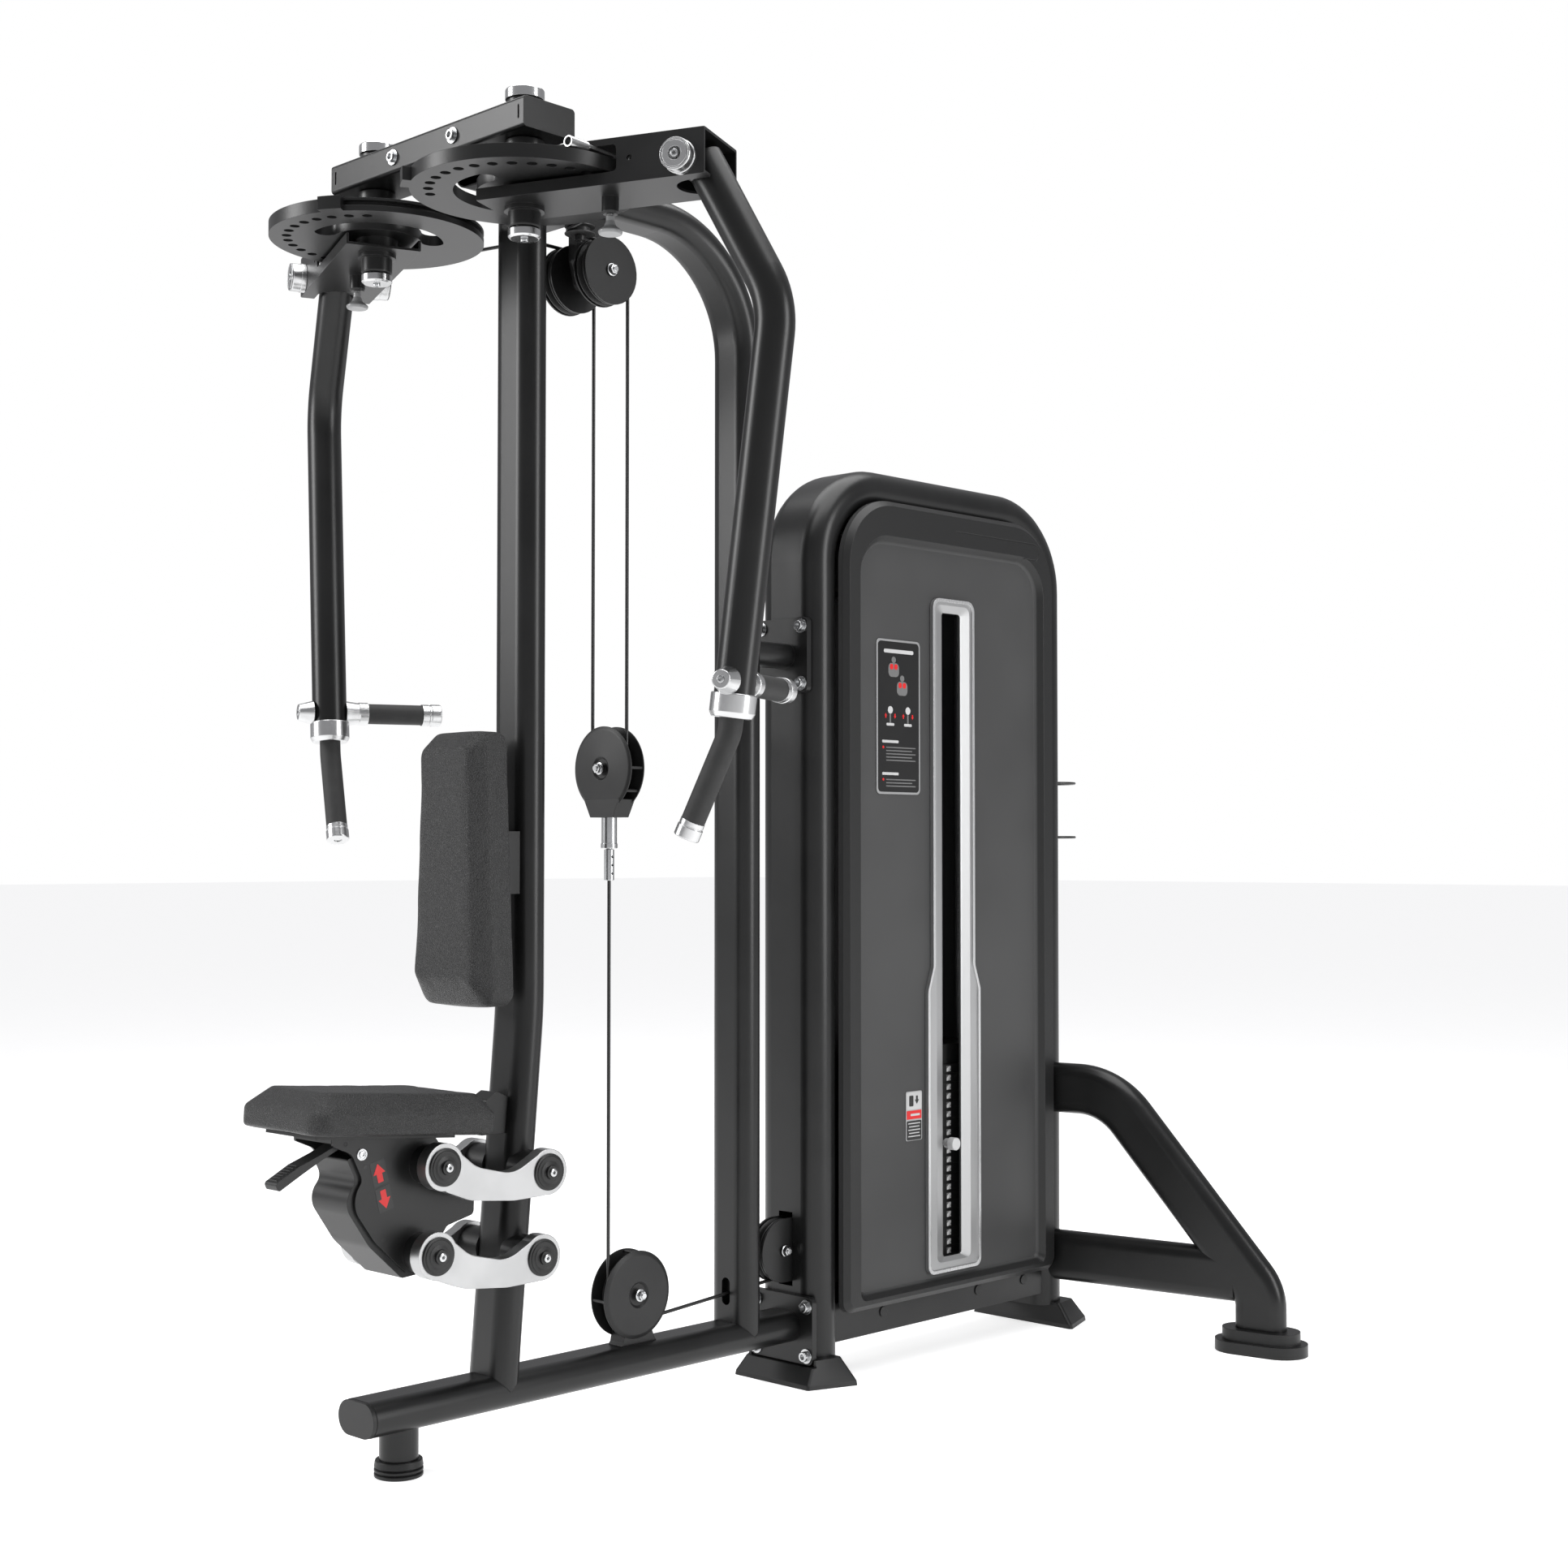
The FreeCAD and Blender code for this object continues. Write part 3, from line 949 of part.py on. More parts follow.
for s in (-1, 1):
    tag = "a" if s > 0 else "b"
    x = s * v("guide_x")
    guide_set.append(cylinder("guide_axle_" + tag, 5, 50, (x, "guide_y", 1948)))
    guide_set.append(cylinder("guide_nut_" + tag, 9, 8, (x, "guide_y", 1951)))
    guide_set.append(cylinder("guide_sleeve_" + tag, 7, 19.5, (x, "guide_y", 1976.5)))
bracket_parts.append(cut("head_hanger", fuse("head_hanger_raw", head_set), rear_solid))
bracket_parts.append(cut("guide_hanger", fuse("guide_hanger_raw", guide_set), fuse("run_and_column",
                                                                                [rear_solid, front_solid])))
low_set = [cylinder("low_axle", 6, 44, (-22, "low_y", "low_z"), "x")]
for s in (-1, 1):
    x = 12.5 if s > 0 else -16.5
    tag = "a" if s > 0 else "b"
    low_set.append(cheek("low_cheek_" + tag, v("low_y"), v("low_z"), 57, x, 4, [(v("low_y"),
        v("low_z") - 57), (v("low_y") + 62, v("low_z") - 57, 4), (v("low_y") + 62, v("low_z") + 57, 4),
        (v("low_y"), v("low_z") + 57)]))
    low_set.append(cylinder("low_spacer_" + tag, 9, 3.5, (9 if s > 0 else -12.5, "low_y", "low_z"), "x"))
    low_set.append(cylinder("low_nut_" + tag, 9, 6, (16.5 if s > 0 else -22.5, "low_y", "low_z"), "x"))
bracket_parts.append(fuse("low_bracket", low_set))
head_tower_set = [cylinder("head_tower_axle", 6, 34, (-17, "head_y", "head_z"), "x")]
stack_set = [cylinder("stack_axle", 6, 44, (-22, v("tower_y") - WR, "head_z"), "x")]
for s in (-1, 1):
    x = 12.5 if s > 0 else -16.5
    tag = "a" if s > 0 else "b"
    head_tower_set.append(box("head_tower_cheek_" + tag, (4.5, 60, 50), (x if s > 0 else -17,
        v("head_y") - 22, 1475)))
    head_tower_set.append(cylinder("head_tower_spacer_" + tag, 9, 3.5, (9 if s > 0 else -12.5, "head_y",
        "head_z"), "x"))
    stack_set.append(box("stack_cheek_" + tag, (4, 60, 112), (x, v("tower_y") - WR - 30, 1479)))
    stack_set.append(cylinder("stack_spacer_" + tag, 9, 3.5, (9 if s > 0 else -12.5, v("tower_y") - WR,
        "head_z"), "x"))
bracket_parts.append(fuse("head_tower_bracket", head_tower_set))
bracket_parts.append(fuse("stack_bracket", stack_set))
clamp_bar = box("clamp_bar", (40, 598, 12), (-20, TOWER_FRONT + 75, "clamp_z"))
clamp_holes = [cylinder("clamp_hole", 8, 40, (0, "tower_y", 1410))]
for i, s in enumerate((-1, 1)):
    clamp_holes.append(cylinder("clamp_rod_%d" % i, 10, 40, (0, v("tower_y") + s * v("rod_dy"), 1410)))
bracket_parts.append(cut("rod_clamp", clamp_bar, group("clamp_tools", clamp_holes)))
keep("wheel_brackets", group("wheel_brackets", bracket_parts))

# ---------------------------------------------------------------- base pulley guard
guard_set = []
BY, BZ = v("base_y"), v("base_z")
for s in (-1, 1):
    tag = "a" if s > 0 else "b"
    cover = turned("base_cover_" + tag, [(0, 0), (73, 0), (73, 2), (66, 5, 8), (22, 7), (18, 3), (0, 3)])
    cover.Placement = Placement(Vector(s * 15, BY, BZ), Rotation(Vector(0, 1, 0), 90 * s))
    guard_set.append(cover)
    guard_set.append(cylinder("base_spacer_" + tag, 9, 6, (9 if s > 0 else -15, BY, BZ), "x"))
    bolt_end = turned("base_nut_" + tag, [(0, 0), (8, 0), (8, 8, 1), (0, 8)])
    bolt_end.Placement = Placement(Vector(s * 17.5, BY, BZ), Rotation(Vector(0, 1, 0), 90 * s))
    guard_set.append(bolt_end)
for i, angle in enumerate((183, 90, 25)):
    rib = polar(69, angle)
    guard_set.append(cylinder("base_rib_%d" % i, 2.5, 30.4, (-15.2, BY + rib.x, BZ + rib.y), "x"))
guard_set.append(cylinder("base_axle", 6, 32, (-16, BY, BZ), "x"))
base_foot = prism("base_foot", "YZ", rounded([(BY - 34, 126), (BY + 44, 126), (BY + 40, 131),
    (BY + 32, 150), (BY - 26, 150), (BY - 30, 131)]), 34, -17)
foot_hollow = cylinder("base_foot_hollow", WRIM + 3, 22, (-11, BY, BZ), "x")
guard_set.append(cut("base_foot_cut", base_foot, foot_hollow))
keep("base_pulley_guard", fuse("base_pulley_guard", guard_set))

# ---------------------------------------------------------------- floating pulley block
FZ = v("float_z")
float_set = [cylinder("float_axle", 6, 36, (0, FALL_Y - 18, FZ), "y")]
for s in (-1, 1):
    tag = "a" if s > 0 else "b"
    cover = turned("float_cover_" + tag, [(0, 0), (71, 0), (71, 2), (66, 4, 8), (20, 7), (16, 3), (0, 3)])
    cover.Placement = Placement(Vector(0, FALL_Y + s * 13, FZ), Rotation(Vector(1, 0, 0), -90 * s))
    float_set.append(cover)
    float_set.append(cylinder("float_spacer_" + tag, 9, 4, (0, FALL_Y + (9 if s > 0 else -13), FZ), "y"))
    end_nut = turned("float_nut_" + tag, [(0, 0), (7.5, 0), (7.5, 8, 1), (0, 8)])
    end_nut.Placement = Placement(Vector(0, FALL_Y + s * 15.5, FZ), Rotation(Vector(1, 0, 0), -90 * s))
    float_set.append(end_nut)
for i, angle in enumerate((0, 180, 325, 215)):
    rib = polar(66, angle)
    float_set.append(cylinder("float_rib_%d" % i, 2.5, 26.4, (rib.x, FALL_Y - 13.2, FZ + rib.y), "y"))
yoke = prism("float_yoke", "XZ", rounded([(-28, FZ - 82, 2), (28, FZ - 82, 2), (44, FZ - 52), (-44,
    FZ - 52)]), 36, -FALL_Y, midplane=True)
yoke_hollow = cylinder("yoke_hollow", v("float_rim") + 9, 22, (0, FALL_Y - 11, FZ), "y")
float_set.append(cut("yoke_cut", yoke, yoke_hollow))
keep("float_block", fuse("float_block", float_set))
rod_top = FZ - 82
turnbuckle = turned("turnbuckle", [(0, 0), (8.5, 0, 1), (8.5, 52), (5, 53), (5, 54), (14, 54, 1),
    (14, 62, 1), (13, 62.5), (13, 106), (0, 106)], (0, FALL_Y, rod_top - 106))
drill = [cylinder("turn_hole_%d" % i, 2.2, 30, (-15, FALL_Y, rod_top - 106 + 12 + i * 14),
    "x") for i in range(3)]
keep("turnbuckle", cut("turnbuckle", turnbuckle, group("turn_holes", drill)))
CABLE_LOW = rod_top - 106

# ---------------------------------------------------------------- cables
CR = v("cable_r")


def arc_between(center, radius, u, w, a0, a1):
    """An arc about a centre in the plane of unit vectors u and w."""
    pts = [center + u * (radius * math.cos(RAD(a))) + w * (radius * math.sin(RAD(a))) for a in (a0,
        (a0 + a1) / 2, a1)]
    return Part.Arc(*pts).toShape()


def line(a, b):
    return Part.LineSegment(a, b).toShape()


def on_circle(center, degrees):
    """The point of a wheel's groove circle at an angle in the mirror plane."""
    return center + Vector(0, WR * math.cos(RAD(degrees)), WR * math.sin(RAD(degrees)))


def cable(name, edges, tangent):
    """A round cable swept along straight runs and the arcs of its wheels."""
    spine = doc.addObject("Part::Feature", name + "_route")
    spine.Shape = Part.Wire(edges)
    start = edges[0].Vertexes[0].Point
    side = Vector(0, 0, 1) if abs(tangent.z) < 0.5 else Vector(1, 0, 0)
    rot = Rotation(side, tangent.cross(side), tangent, "ZXY")
    section = outline_wire(name + "_section", circle(0, 0, CR), tuple(start), rot)
    return sweep(name, section, spine, len(edges))


X, Y, Z = Vector(1, 0, 0), Vector(0, 1, 0), Vector(0, 0, 1)
CZ = v("cable_z")
cam_c = Vector(PX, PY, CZ)
guide_c = Vector(v("guide_x"), v("guide_y"), CZ)
lay_r = v("groove_r") + CR + 0.15
gap_v = guide_c - cam_c
normal_angle = math.degrees(math.atan2(gap_v.y, gap_v.x)) - math.degrees(
    math.acos((lay_r + v("guide_r")) / gap_v.Length))
t_cam = cam_c + polar(lay_r, normal_angle)
t_guide = guide_c - polar(v("guide_r"), normal_angle)
top_c = Vector(v("top_x"), v("top_y"), CZ - WR)
head_edges = [
    arc_between(cam_c, lay_r, X, Y, 47, normal_angle),
    line(t_cam, t_guide),
    arc_between(guide_c, v("guide_r"), X, Y, normal_angle + 180, 180),
    line(guide_c - X * v("guide_r"), top_c + Z * WR),
    arc_between(top_c, WR, Y, Z, 90, 0),
]
arm_cable = cable("arm_cable_side", head_edges, polar(1, 47 + 90))
falls = [cylinder("arm_fall_" + tag, "cable_r", CZ - WR - FZ, (x, FALL_Y, "float_z"))
         for tag, x in (("l", v("top_x")), ("r", -v("top_x")))]
keep("arm_cable_falls", group("arm_cable_falls", falls))
float_c = Vector(0, FALL_Y, FZ)
keep("arm_cable_bend", cable("arm_cable_bend", [arc_between(float_c, v("float_r"), X, Z, 0, -180)], Z * -1))

keep("float_cable", cylinder("float_cable", "cable_r", CABLE_LOW - BZ, (0, FALL_Y, "base_z")))
base_c = Vector(0, BY, BZ)
low_c = Vector(0, v("low_y"), v("low_z"))
slope = math.degrees(math.atan2(low_c.z - base_c.z, low_c.y - base_c.y))
head_c = Vector(0, v("head_y"), v("head_z"))
stack_c = Vector(0, v("tower_y") - WR, v("head_z"))
leave = 270 + slope
low_edges = [
    arc_between(base_c, WR, Y, Z, 180, leave),
    line(on_circle(base_c, leave), on_circle(low_c, leave)),
    arc_between(low_c, WR, Y, Z, leave, 360),
    line(on_circle(low_c, 0), on_circle(head_c, 180)),
    arc_between(head_c, WR, Y, Z, 180, 90),
    line(on_circle(head_c, 90), on_circle(stack_c, 90)),
    arc_between(stack_c, WR, Y, Z, 90, 0),
]
stack_cable = cable("stack_cable", low_edges, Z * -1)
keep("drive_cables", group("drive_cables", [arm_cable, mirror("arm_cable_other", arm_cable), stack_cable]))
fall_z = STACK_TOP + 64.2
keep("stack_fall", cylinder("stack_fall", "cable_r", v("head_z") - fall_z, (0, "tower_y", fall_z)))

# ---------------------------------------------------------------- back pad and its bracket
pad_body = doc.addObject("PartDesign::Body", "pad_body")


def trapeze(half_top, z_top, half_low, z_low, radius):
    return rounded([(-half_low, z_low, radius), (half_low, z_low, radius), (half_top, z_top, radius),
                    (-half_top, z_top, radius)])


face = sketch_on(pad_body, "pad_face", "XZ", trapeze(59, 1118, 74, 751, 16), -85)
shoulder = sketch_on(pad_body, "pad_shoulder", "XZ", trapeze(72.5, 1144, 94.5, 708, 26), -116)
loft = pad_body.newObject("PartDesign::AdditiveLoft", "pad_loft")
loft.Profile = face
loft.Sections = [shoulder]
loft.Ruled = True
pad_body.Tip = loft
sk = sketch_on(pad_body, "pad_back", "XZ", trapeze(72.5, 1144, 94.5, 708, 26), -116)
pad(pad_body, "pad_depth", sk, 44, back=True)
keep("back_pad", pad_body)
pad_plate = prism("pad_plate", "XZ", rounded([(-45, 860, 10), (45, 860, 10), (45, 1010, 10),
    (-45, 1010, 10)]), 5, -160.4, back=True)
pad_block = box("pad_block", (60, 52, 100), (-30, 165.4, 885))
pad_bracket = cut("pad_bracket", fuse("pad_bracket_raw", [pad_plate, pad_block]), front_solid)

# ---------------------------------------------------------------- seat mount on the front column
mount_outline = [(150, 545, 4), (118, 500, 14), (100, 440, 14), (96, 380, 18), (104, 310, 10),
    (150, 290, 8), (205, 300, 4), (208, 330), (220, 500), (206, 560, 3)]
mount_holes = []
for y, z in ((128, 500), (116, 460), (111, 418), (111, 376), (118, 335)):
    mount_holes += circle(y, z, 9)
mount_set = []
for i, x in enumerate((-26, 20)):
    mount_set.append(prism("seat_mount_%d" % i, "YZ", rounded(mount_outline) + mount_holes, 6, x))
mount_set.append(prism("seat_gusset", "YZ", rounded([(150, 505), (205, 505), (206, 560), (180, 572, 6),
    (158, 560, 6)]), 40, 0, midplane=True))
UR, LR, UF, LF = (220, 449), (208, 317), (17, 477), (5, 345)
for i, (y, z) in enumerate((UR, LR)):
    for j, x in enumerate((-77.4, 30)):
        mount_set.append(cylinder("seat_boss_%d%d" % (i, j), 30, 47.4, (x, y, z), "x"))
        mount_set.append(cylinder("seat_pin_%d%d" % (i, j), 9, 70.2, (-100.2 if j == 0 else 30, y, z), "x"))
mount_all = cut("mount_all", fuse("mount_raw", mount_set), front_solid)


# ---------------------------------------------------------------- seat links
def link(name, rear, front, front_bore=9.05):
    """One pair of flat links with a dipped upper edge between two round ends, and their end caps."""
    ry, rz = rear
    fy, fz = front
    parts = []
    for j, x in enumerate((-v("link_out"), v("link_in"))):
        tag = "%s_%d" % (name, j)
        dip = [(fy + 8, fz + 35, 10), (fy + 60, fz - 6, 60), (ry - 70, rz + 4, 60), (ry - 6, rz + 36, 10),
               (ry + 2, rz - 36, 12), (ry - 70, rz - 37, 90), (fy + 50, fz - 56, 90), (fy - 4, fz - 35, 12)]
        bar = prism("link_bar_" + tag, "YZ", rounded(dip), "link_out - link_in", x)
        ends = []
        for k, (y, z) in enumerate((rear, front)):
            ends.append(cylinder("link_end_%s%d" % (tag, k), "link_r", "link_out - link_in", (x, y, z),
                "x"))
        outer = x if j == 0 else v("link_out")
        bores = []
        for k, (y, z, r) in enumerate(((ry, rz, 9.05), (fy, fz, front_bore))):
            bores.append(cylinder("link_bore_%s%d" % (tag, k), r, 40, (x - 8, y, z), "x"))
        body = cut("link_" + tag, fuse("link_raw_" + tag, [bar] + ends), group("link_bores_" + tag, bores))
        parts.append(body)
    return group(name, parts)


keep("upper_links", link("upper_links", UR, UF))
keep("lower_links", link("lower_links", LR, LF, 9.4))

cap_set = []
for i, (y, z) in enumerate((UR, LR)):
    for s in (-1, 1):
        cap = turned("link_cap_%d%s" % (i, "a" if s > 0 else "b"), [
            (0, 0), (9, 0), (29, 0), (29, 2.5, 1), (11, 5, 1), (11, 10, 1), (5, 10), (5, 6), (0, 6)])
        cap.Placement = Placement(Vector(s * 100.4, y, z), Rotation(Vector(0, 1, 0), 90 * s))
        cap_set.append(cap)
keep("column_brackets", group("column_brackets", [pad_bracket, mount_all] + cap_set))

# ---------------------------------------------------------------- seat chassis
SIDE = [(-151, 537), (30, 523), (73, 470, 10), (111, 425, 8), (110, 391, 8), (59, 379, 10), (33, 345, 6),
        (18, 310, 12), (-17, 317, 6), (-75, 370, 60), (-120, 433, 40), (-97, 464, 14), (-117, 505, 20),
        (-150, 519, 3)]
LEVER_Y, LEVER_Z = -128, 521
chassis = []
for j, x in enumerate((-51, 46)):
    plate = prism("seat_side_%d" % j, "YZ", rounded(SIDE) + circle(LEVER_Y, LEVER_Z, 3.05), "side_t", x)
    chassis.append(plate)
SEAT_TURN = Placement(Vector(0, 0, v("seat_z")), Rotation(Vector(1, 0, 0), -v("seat_tilt")))
seat_pan = box("seat_pan", (130, 253, 5), (0, 0, 0))
seat_pan.Placement = SEAT_TURN.multiply(Placement(Vector(-65, -190, -6.8), Rotation()))
chassis.append(seat_pan)
chassis.append(box("seat_lip", (96, 4, 10), (-48, -151, 523)))
for i, (y, z) in enumerate((UF, LF)):
    for j, x in enumerate((-77.4, 51)):
        chassis.append(cylinder("seat_hub_%d%d" % (i, j), 30, 26.4, (x, y, z), "x"))
        chassis.append(cylinder("front_pin_%d%d" % (i, j), 9, 50.2, (-100.2 if j == 0 else 50, y, z), "x"))
chassis_frame = fuse("chassis_frame", chassis)
front_caps = []
for i, (y, z) in enumerate((UF, LF)):
    for s in (-1, 1):
        cap = turned("front_cap_%d%s" % (i, "a" if s > 0 else "b"), [
            (0, 0), (9, 0), (29, 0), (29, 2.5, 1), (11, 5, 1), (11, 10, 1), (5, 10), (5, 6), (0, 6)])
        cap.Placement = Placement(Vector(s * 100.4, y, z), Rotation(Vector(0, 1, 0), 90 * s))
        front_caps.append(cap)
keep("seat_chassis", group("seat_chassis", [chassis_frame] + front_caps))

# ---------------------------------------------------------------- seat fairing and height lever
FAIR = [(-112, 499, 4), (-122, 497, 3), (-105, 463, 18), (-129, 433, 32), (-82, 364, 60), (-22, 309, 8),
    (16, 312, 4), (14, 322, 4), (-12, 328, 8), (-68, 379, 60), (-106, 434, 24), (-84, 464, 14),
    (-98, 499, 4)]

keep("seat_fairing", prism("fairing_body", "YZ", rounded(FAIR), 91.6, 0, midplane=True))
lever_strip = prism("lever_strip", "YZ", rounded([
    (-130, 515, 2), (-165, 499, 10), (-198, 482, 10), (-237, 461, 4), (-242, 473, 5), (-201, 495, 12),
    (-165, 508, 14), (-126, 525, 3)]), 30, 12)
lever_hub = cylinder("seat_lever_hub", 7, 30, (12, LEVER_Y, LEVER_Z), "x")
lever_pin = cylinder("seat_lever_pin", 3, 44, (6.8, LEVER_Y, LEVER_Z), "x")
keep("seat_lever", fuse("seat_lever", [lever_strip, lever_hub, lever_pin]))

# ---------------------------------------------------------------- seat pad
seat_body = doc.addObject("PartDesign::Body", "seat_body")
plan = [(-109, -219, 30), (109, -219, 30), (109, 121, 30), (-109, 121, 30)]
sk = sketch_on(seat_body, "seat_plan", "XY", rounded(plan), 0)
pad(seat_body, "seat_band", sk, 32)
low_face = sketch_on(seat_body, "seat_low", "XY", rounded(plan), 32)
high_face = sketch_on(seat_body, "seat_high", "XY", rounded([(-74.5, -187, 18), (74.5, -187, 18),
    (96, 86, 20), (-96, 86, 20)]), 62)
loft = seat_body.newObject("PartDesign::AdditiveLoft", "seat_loft")
loft.Profile = low_face
loft.Sections = [high_face]
loft.Ruled = True
seat_body.Tip = loft
seat_body.Placement = SEAT_TURN
keep("seat_pad", seat_body)

# ---------------------------------------------------------------- check and export
doc.recompute()
for obj in doc.Objects:
    if "Invalid" in obj.State or "Error" in obj.State:
        raise RuntimeError("%s did not compute: %s" % (obj.Name, obj.State))
for label, obj in MAKES.items():
    if obj.Shape.isNull() or not obj.Shape.isValid() or not obj.Shape.Solids:
        raise RuntimeError("%s has no valid solid" % label)
os.makedirs("parts", exist_ok=True)
for label, obj in MAKES.items():
    obj.Shape.exportStep("parts/%s.step" % label)
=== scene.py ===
import math

import bmesh
import bpy
from mathutils import Matrix, Vector


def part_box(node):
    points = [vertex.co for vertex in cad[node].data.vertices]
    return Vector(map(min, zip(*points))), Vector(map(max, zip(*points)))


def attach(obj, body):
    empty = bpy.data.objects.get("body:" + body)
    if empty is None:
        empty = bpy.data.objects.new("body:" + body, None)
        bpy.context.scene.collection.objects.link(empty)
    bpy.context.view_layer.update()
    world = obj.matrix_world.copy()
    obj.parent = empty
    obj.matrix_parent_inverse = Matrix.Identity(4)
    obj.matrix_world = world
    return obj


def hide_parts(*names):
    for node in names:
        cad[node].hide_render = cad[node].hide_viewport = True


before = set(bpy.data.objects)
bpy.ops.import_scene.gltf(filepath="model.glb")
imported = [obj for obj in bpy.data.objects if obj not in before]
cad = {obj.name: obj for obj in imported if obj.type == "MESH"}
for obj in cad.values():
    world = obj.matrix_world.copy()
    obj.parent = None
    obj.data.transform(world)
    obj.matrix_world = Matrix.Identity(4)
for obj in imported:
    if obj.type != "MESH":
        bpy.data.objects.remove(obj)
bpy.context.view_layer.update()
MM = 0.001


# ---------------------------------------------------------------- frame tubes
# The floor beam, the two bent columns, the crossbeam, the tower arch and its struts are welded and
# bolted steel tube under one satin black powder coat. Fine orange peel and slow drifts of gloss are
# in the coat; the edges of the sheet metal catch a thin line of light.
class Field:
    """A shader socket that can be added, scaled and compared like a number."""

    def __init__(self, paint, socket):
        self.paint = paint
        self.socket = socket

    def maths(self, operation, *values):
        return self.paint.node("Math", {"operation": operation}, dict(enumerate(values)))

    def __add__(self, other):
        return self.maths("ADD", self, other)

    __radd__ = __add__

    def __sub__(self, other):
        return self.maths("SUBTRACT", self, other)

    def __rsub__(self, other):
        return self.maths("SUBTRACT", other, self)

    def __mul__(self, other):
        return self.maths("MULTIPLY", self, other)

    __rmul__ = __mul__

    def __gt__(self, other):
        return self.maths("GREATER_THAN", self, other)

    def __lt__(self, other):
        return self.maths("LESS_THAN", self, other)

    def __abs__(self):
        return self.maths("ABSOLUTE", self)

    def __pow__(self, other):
        return self.maths("POWER", self, other)

    def biggest(self, other):
        return self.maths("MAXIMUM", self, other)

    def ramp(self, low, high):
        """0 below low and 1 above high, eased between."""
        sockets = {"Value": self, "From Min": low, "From Max": high}
        return self.paint.node("MapRange", {"interpolation_type": "SMOOTHSTEP"}, sockets)


class Paint:
    """One material: its shader, its place in space, and noises to build a finish from."""

    def __init__(self, name, **settings):
        self.material = bpy.data.materials.new(name)
        self.material.use_nodes = True
        self.tree = self.material.node_tree
        self.shader = self.tree.nodes["Principled BSDF"]
        self.place = self.node("TexCoord", output="Object")
        for socket, value in settings.items():
            self.set(socket.replace("_", " "), value)

    def node(self, kind, settings=None, sockets=None, output=0):
        made = self.tree.nodes.new("ShaderNode" + kind)
        for name, value in (settings or {}).items():
            setattr(made, name, value)
        for name, value in (sockets or {}).items():
            if isinstance(value, Field):
                self.tree.links.new(value.socket, made.inputs[name])
            else:
                made.inputs[name].default_value = value
        return Field(self, made.outputs[output])

    def set(self, socket, value):
        if isinstance(value, Field):
            self.tree.links.new(value.socket, self.shader.inputs[socket])
        else:
            self.shader.inputs[socket].default_value = value

    def axes(self):
        """The x, y and z of a point of the surface, in metres of the row frame."""
        split = self.node("SeparateXYZ", sockets={0: self.place})
        outputs = split.socket.node.outputs
        return [Field(self, outputs[i]) for i in range(3)]

    def noise(self, per_metre, detail=2.0, rough=0.5, place=None):
        sockets = {"Vector": place or self.place, "Scale": per_metre}
        sockets.update({"Detail": detail, "Roughness": rough})
        return self.node("TexNoise", sockets=sockets)

    def cells(self, per_metre, feature="F1"):
        sockets = {"Vector": self.place, "Scale": per_metre}
        return self.node("TexVoronoi", {"feature": feature}, sockets)

    def stretched(self, x, y, z):
        return self.node("VectorMath", {"operation": "MULTIPLY"}, {0: self.place, 1: (x, y, z)})

    def mix(self, part, first, second):
        sockets = {0: part, 6: first, 7: second}
        return self.node("Mix", {"data_type": "RGBA"}, sockets, output=2)

    def relief(self, height, depth, edge=0.0):
        """Raises the surface by height times depth metres, over edges rounded to edge metres."""
        sockets = {"Height": height, "Distance": depth, "Strength": 1.0}
        if edge:
            sockets["Normal"] = self.node("Bevel", {"samples": 4}, {"Radius": edge})
        self.set("Normal", self.node("Bump", sockets=sockets))


def shade(name, colour_a, colour_b, rough, spread, peel, peel_depth, edge=0.0, patch=7.0,
          **settings):
    """A coat whose colour and gloss drift between two values over a fine skin of peel or grain."""
    paint = Paint(name, **settings)
    drift = paint.noise(patch, 3.0, 0.55)
    paint.set("Base Color", paint.mix(drift.ramp(0.35, 0.65), colour_a, colour_b))
    fine = paint.noise(peel, 2.0)
    paint.set("Roughness", rough + (drift - 0.5) * spread + (fine - 0.5) * 0.06)
    paint.relief(fine, peel_depth, edge=edge)
    return paint


def grey(value, tint=0.0):
    return (value, value * (1 + tint * 0.5), value * (1 + tint), 1.0)


def dress(paint, *names):
    """Gives CAD nodes a finish."""
    for name in names:
        mesh = cad[name].data
        mesh.materials.clear()
        mesh.materials.append(paint.material)


powder_coat = shade("satin_powder_coat", grey(0.0058, 0.02), grey(0.0086, 0.02), 0.30, 0.05,
                    1100.0, 0.00006, edge=0.0012, Specular_IOR_Level=0.36)
dress(powder_coat, "floor_beam", "front_column", "rear_column", "crossbeam", "tower_links",
      "tower_frame", "side_struts", "arm_tube_left", "arm_tube_right")

# ---------------------------------------------------------------- cut and folded plate
# Cams, carriers, cable brackets and the seat frame are laser-cut steel plate with the same black
# coat, a little thinner and duller because it goes on over bare cut edges.
plate_coat = shade("plate_coat", grey(0.0060, 0.02), grey(0.0090, 0.02), 0.34, 0.06,
                   900.0, 0.00007, edge=0.0008, Specular_IOR_Level=0.38)
dress(plate_coat, "cam_left", "cam_right", "carrier_left", "carrier_right", "wheel_brackets",
      "column_brackets", "seat_chassis")

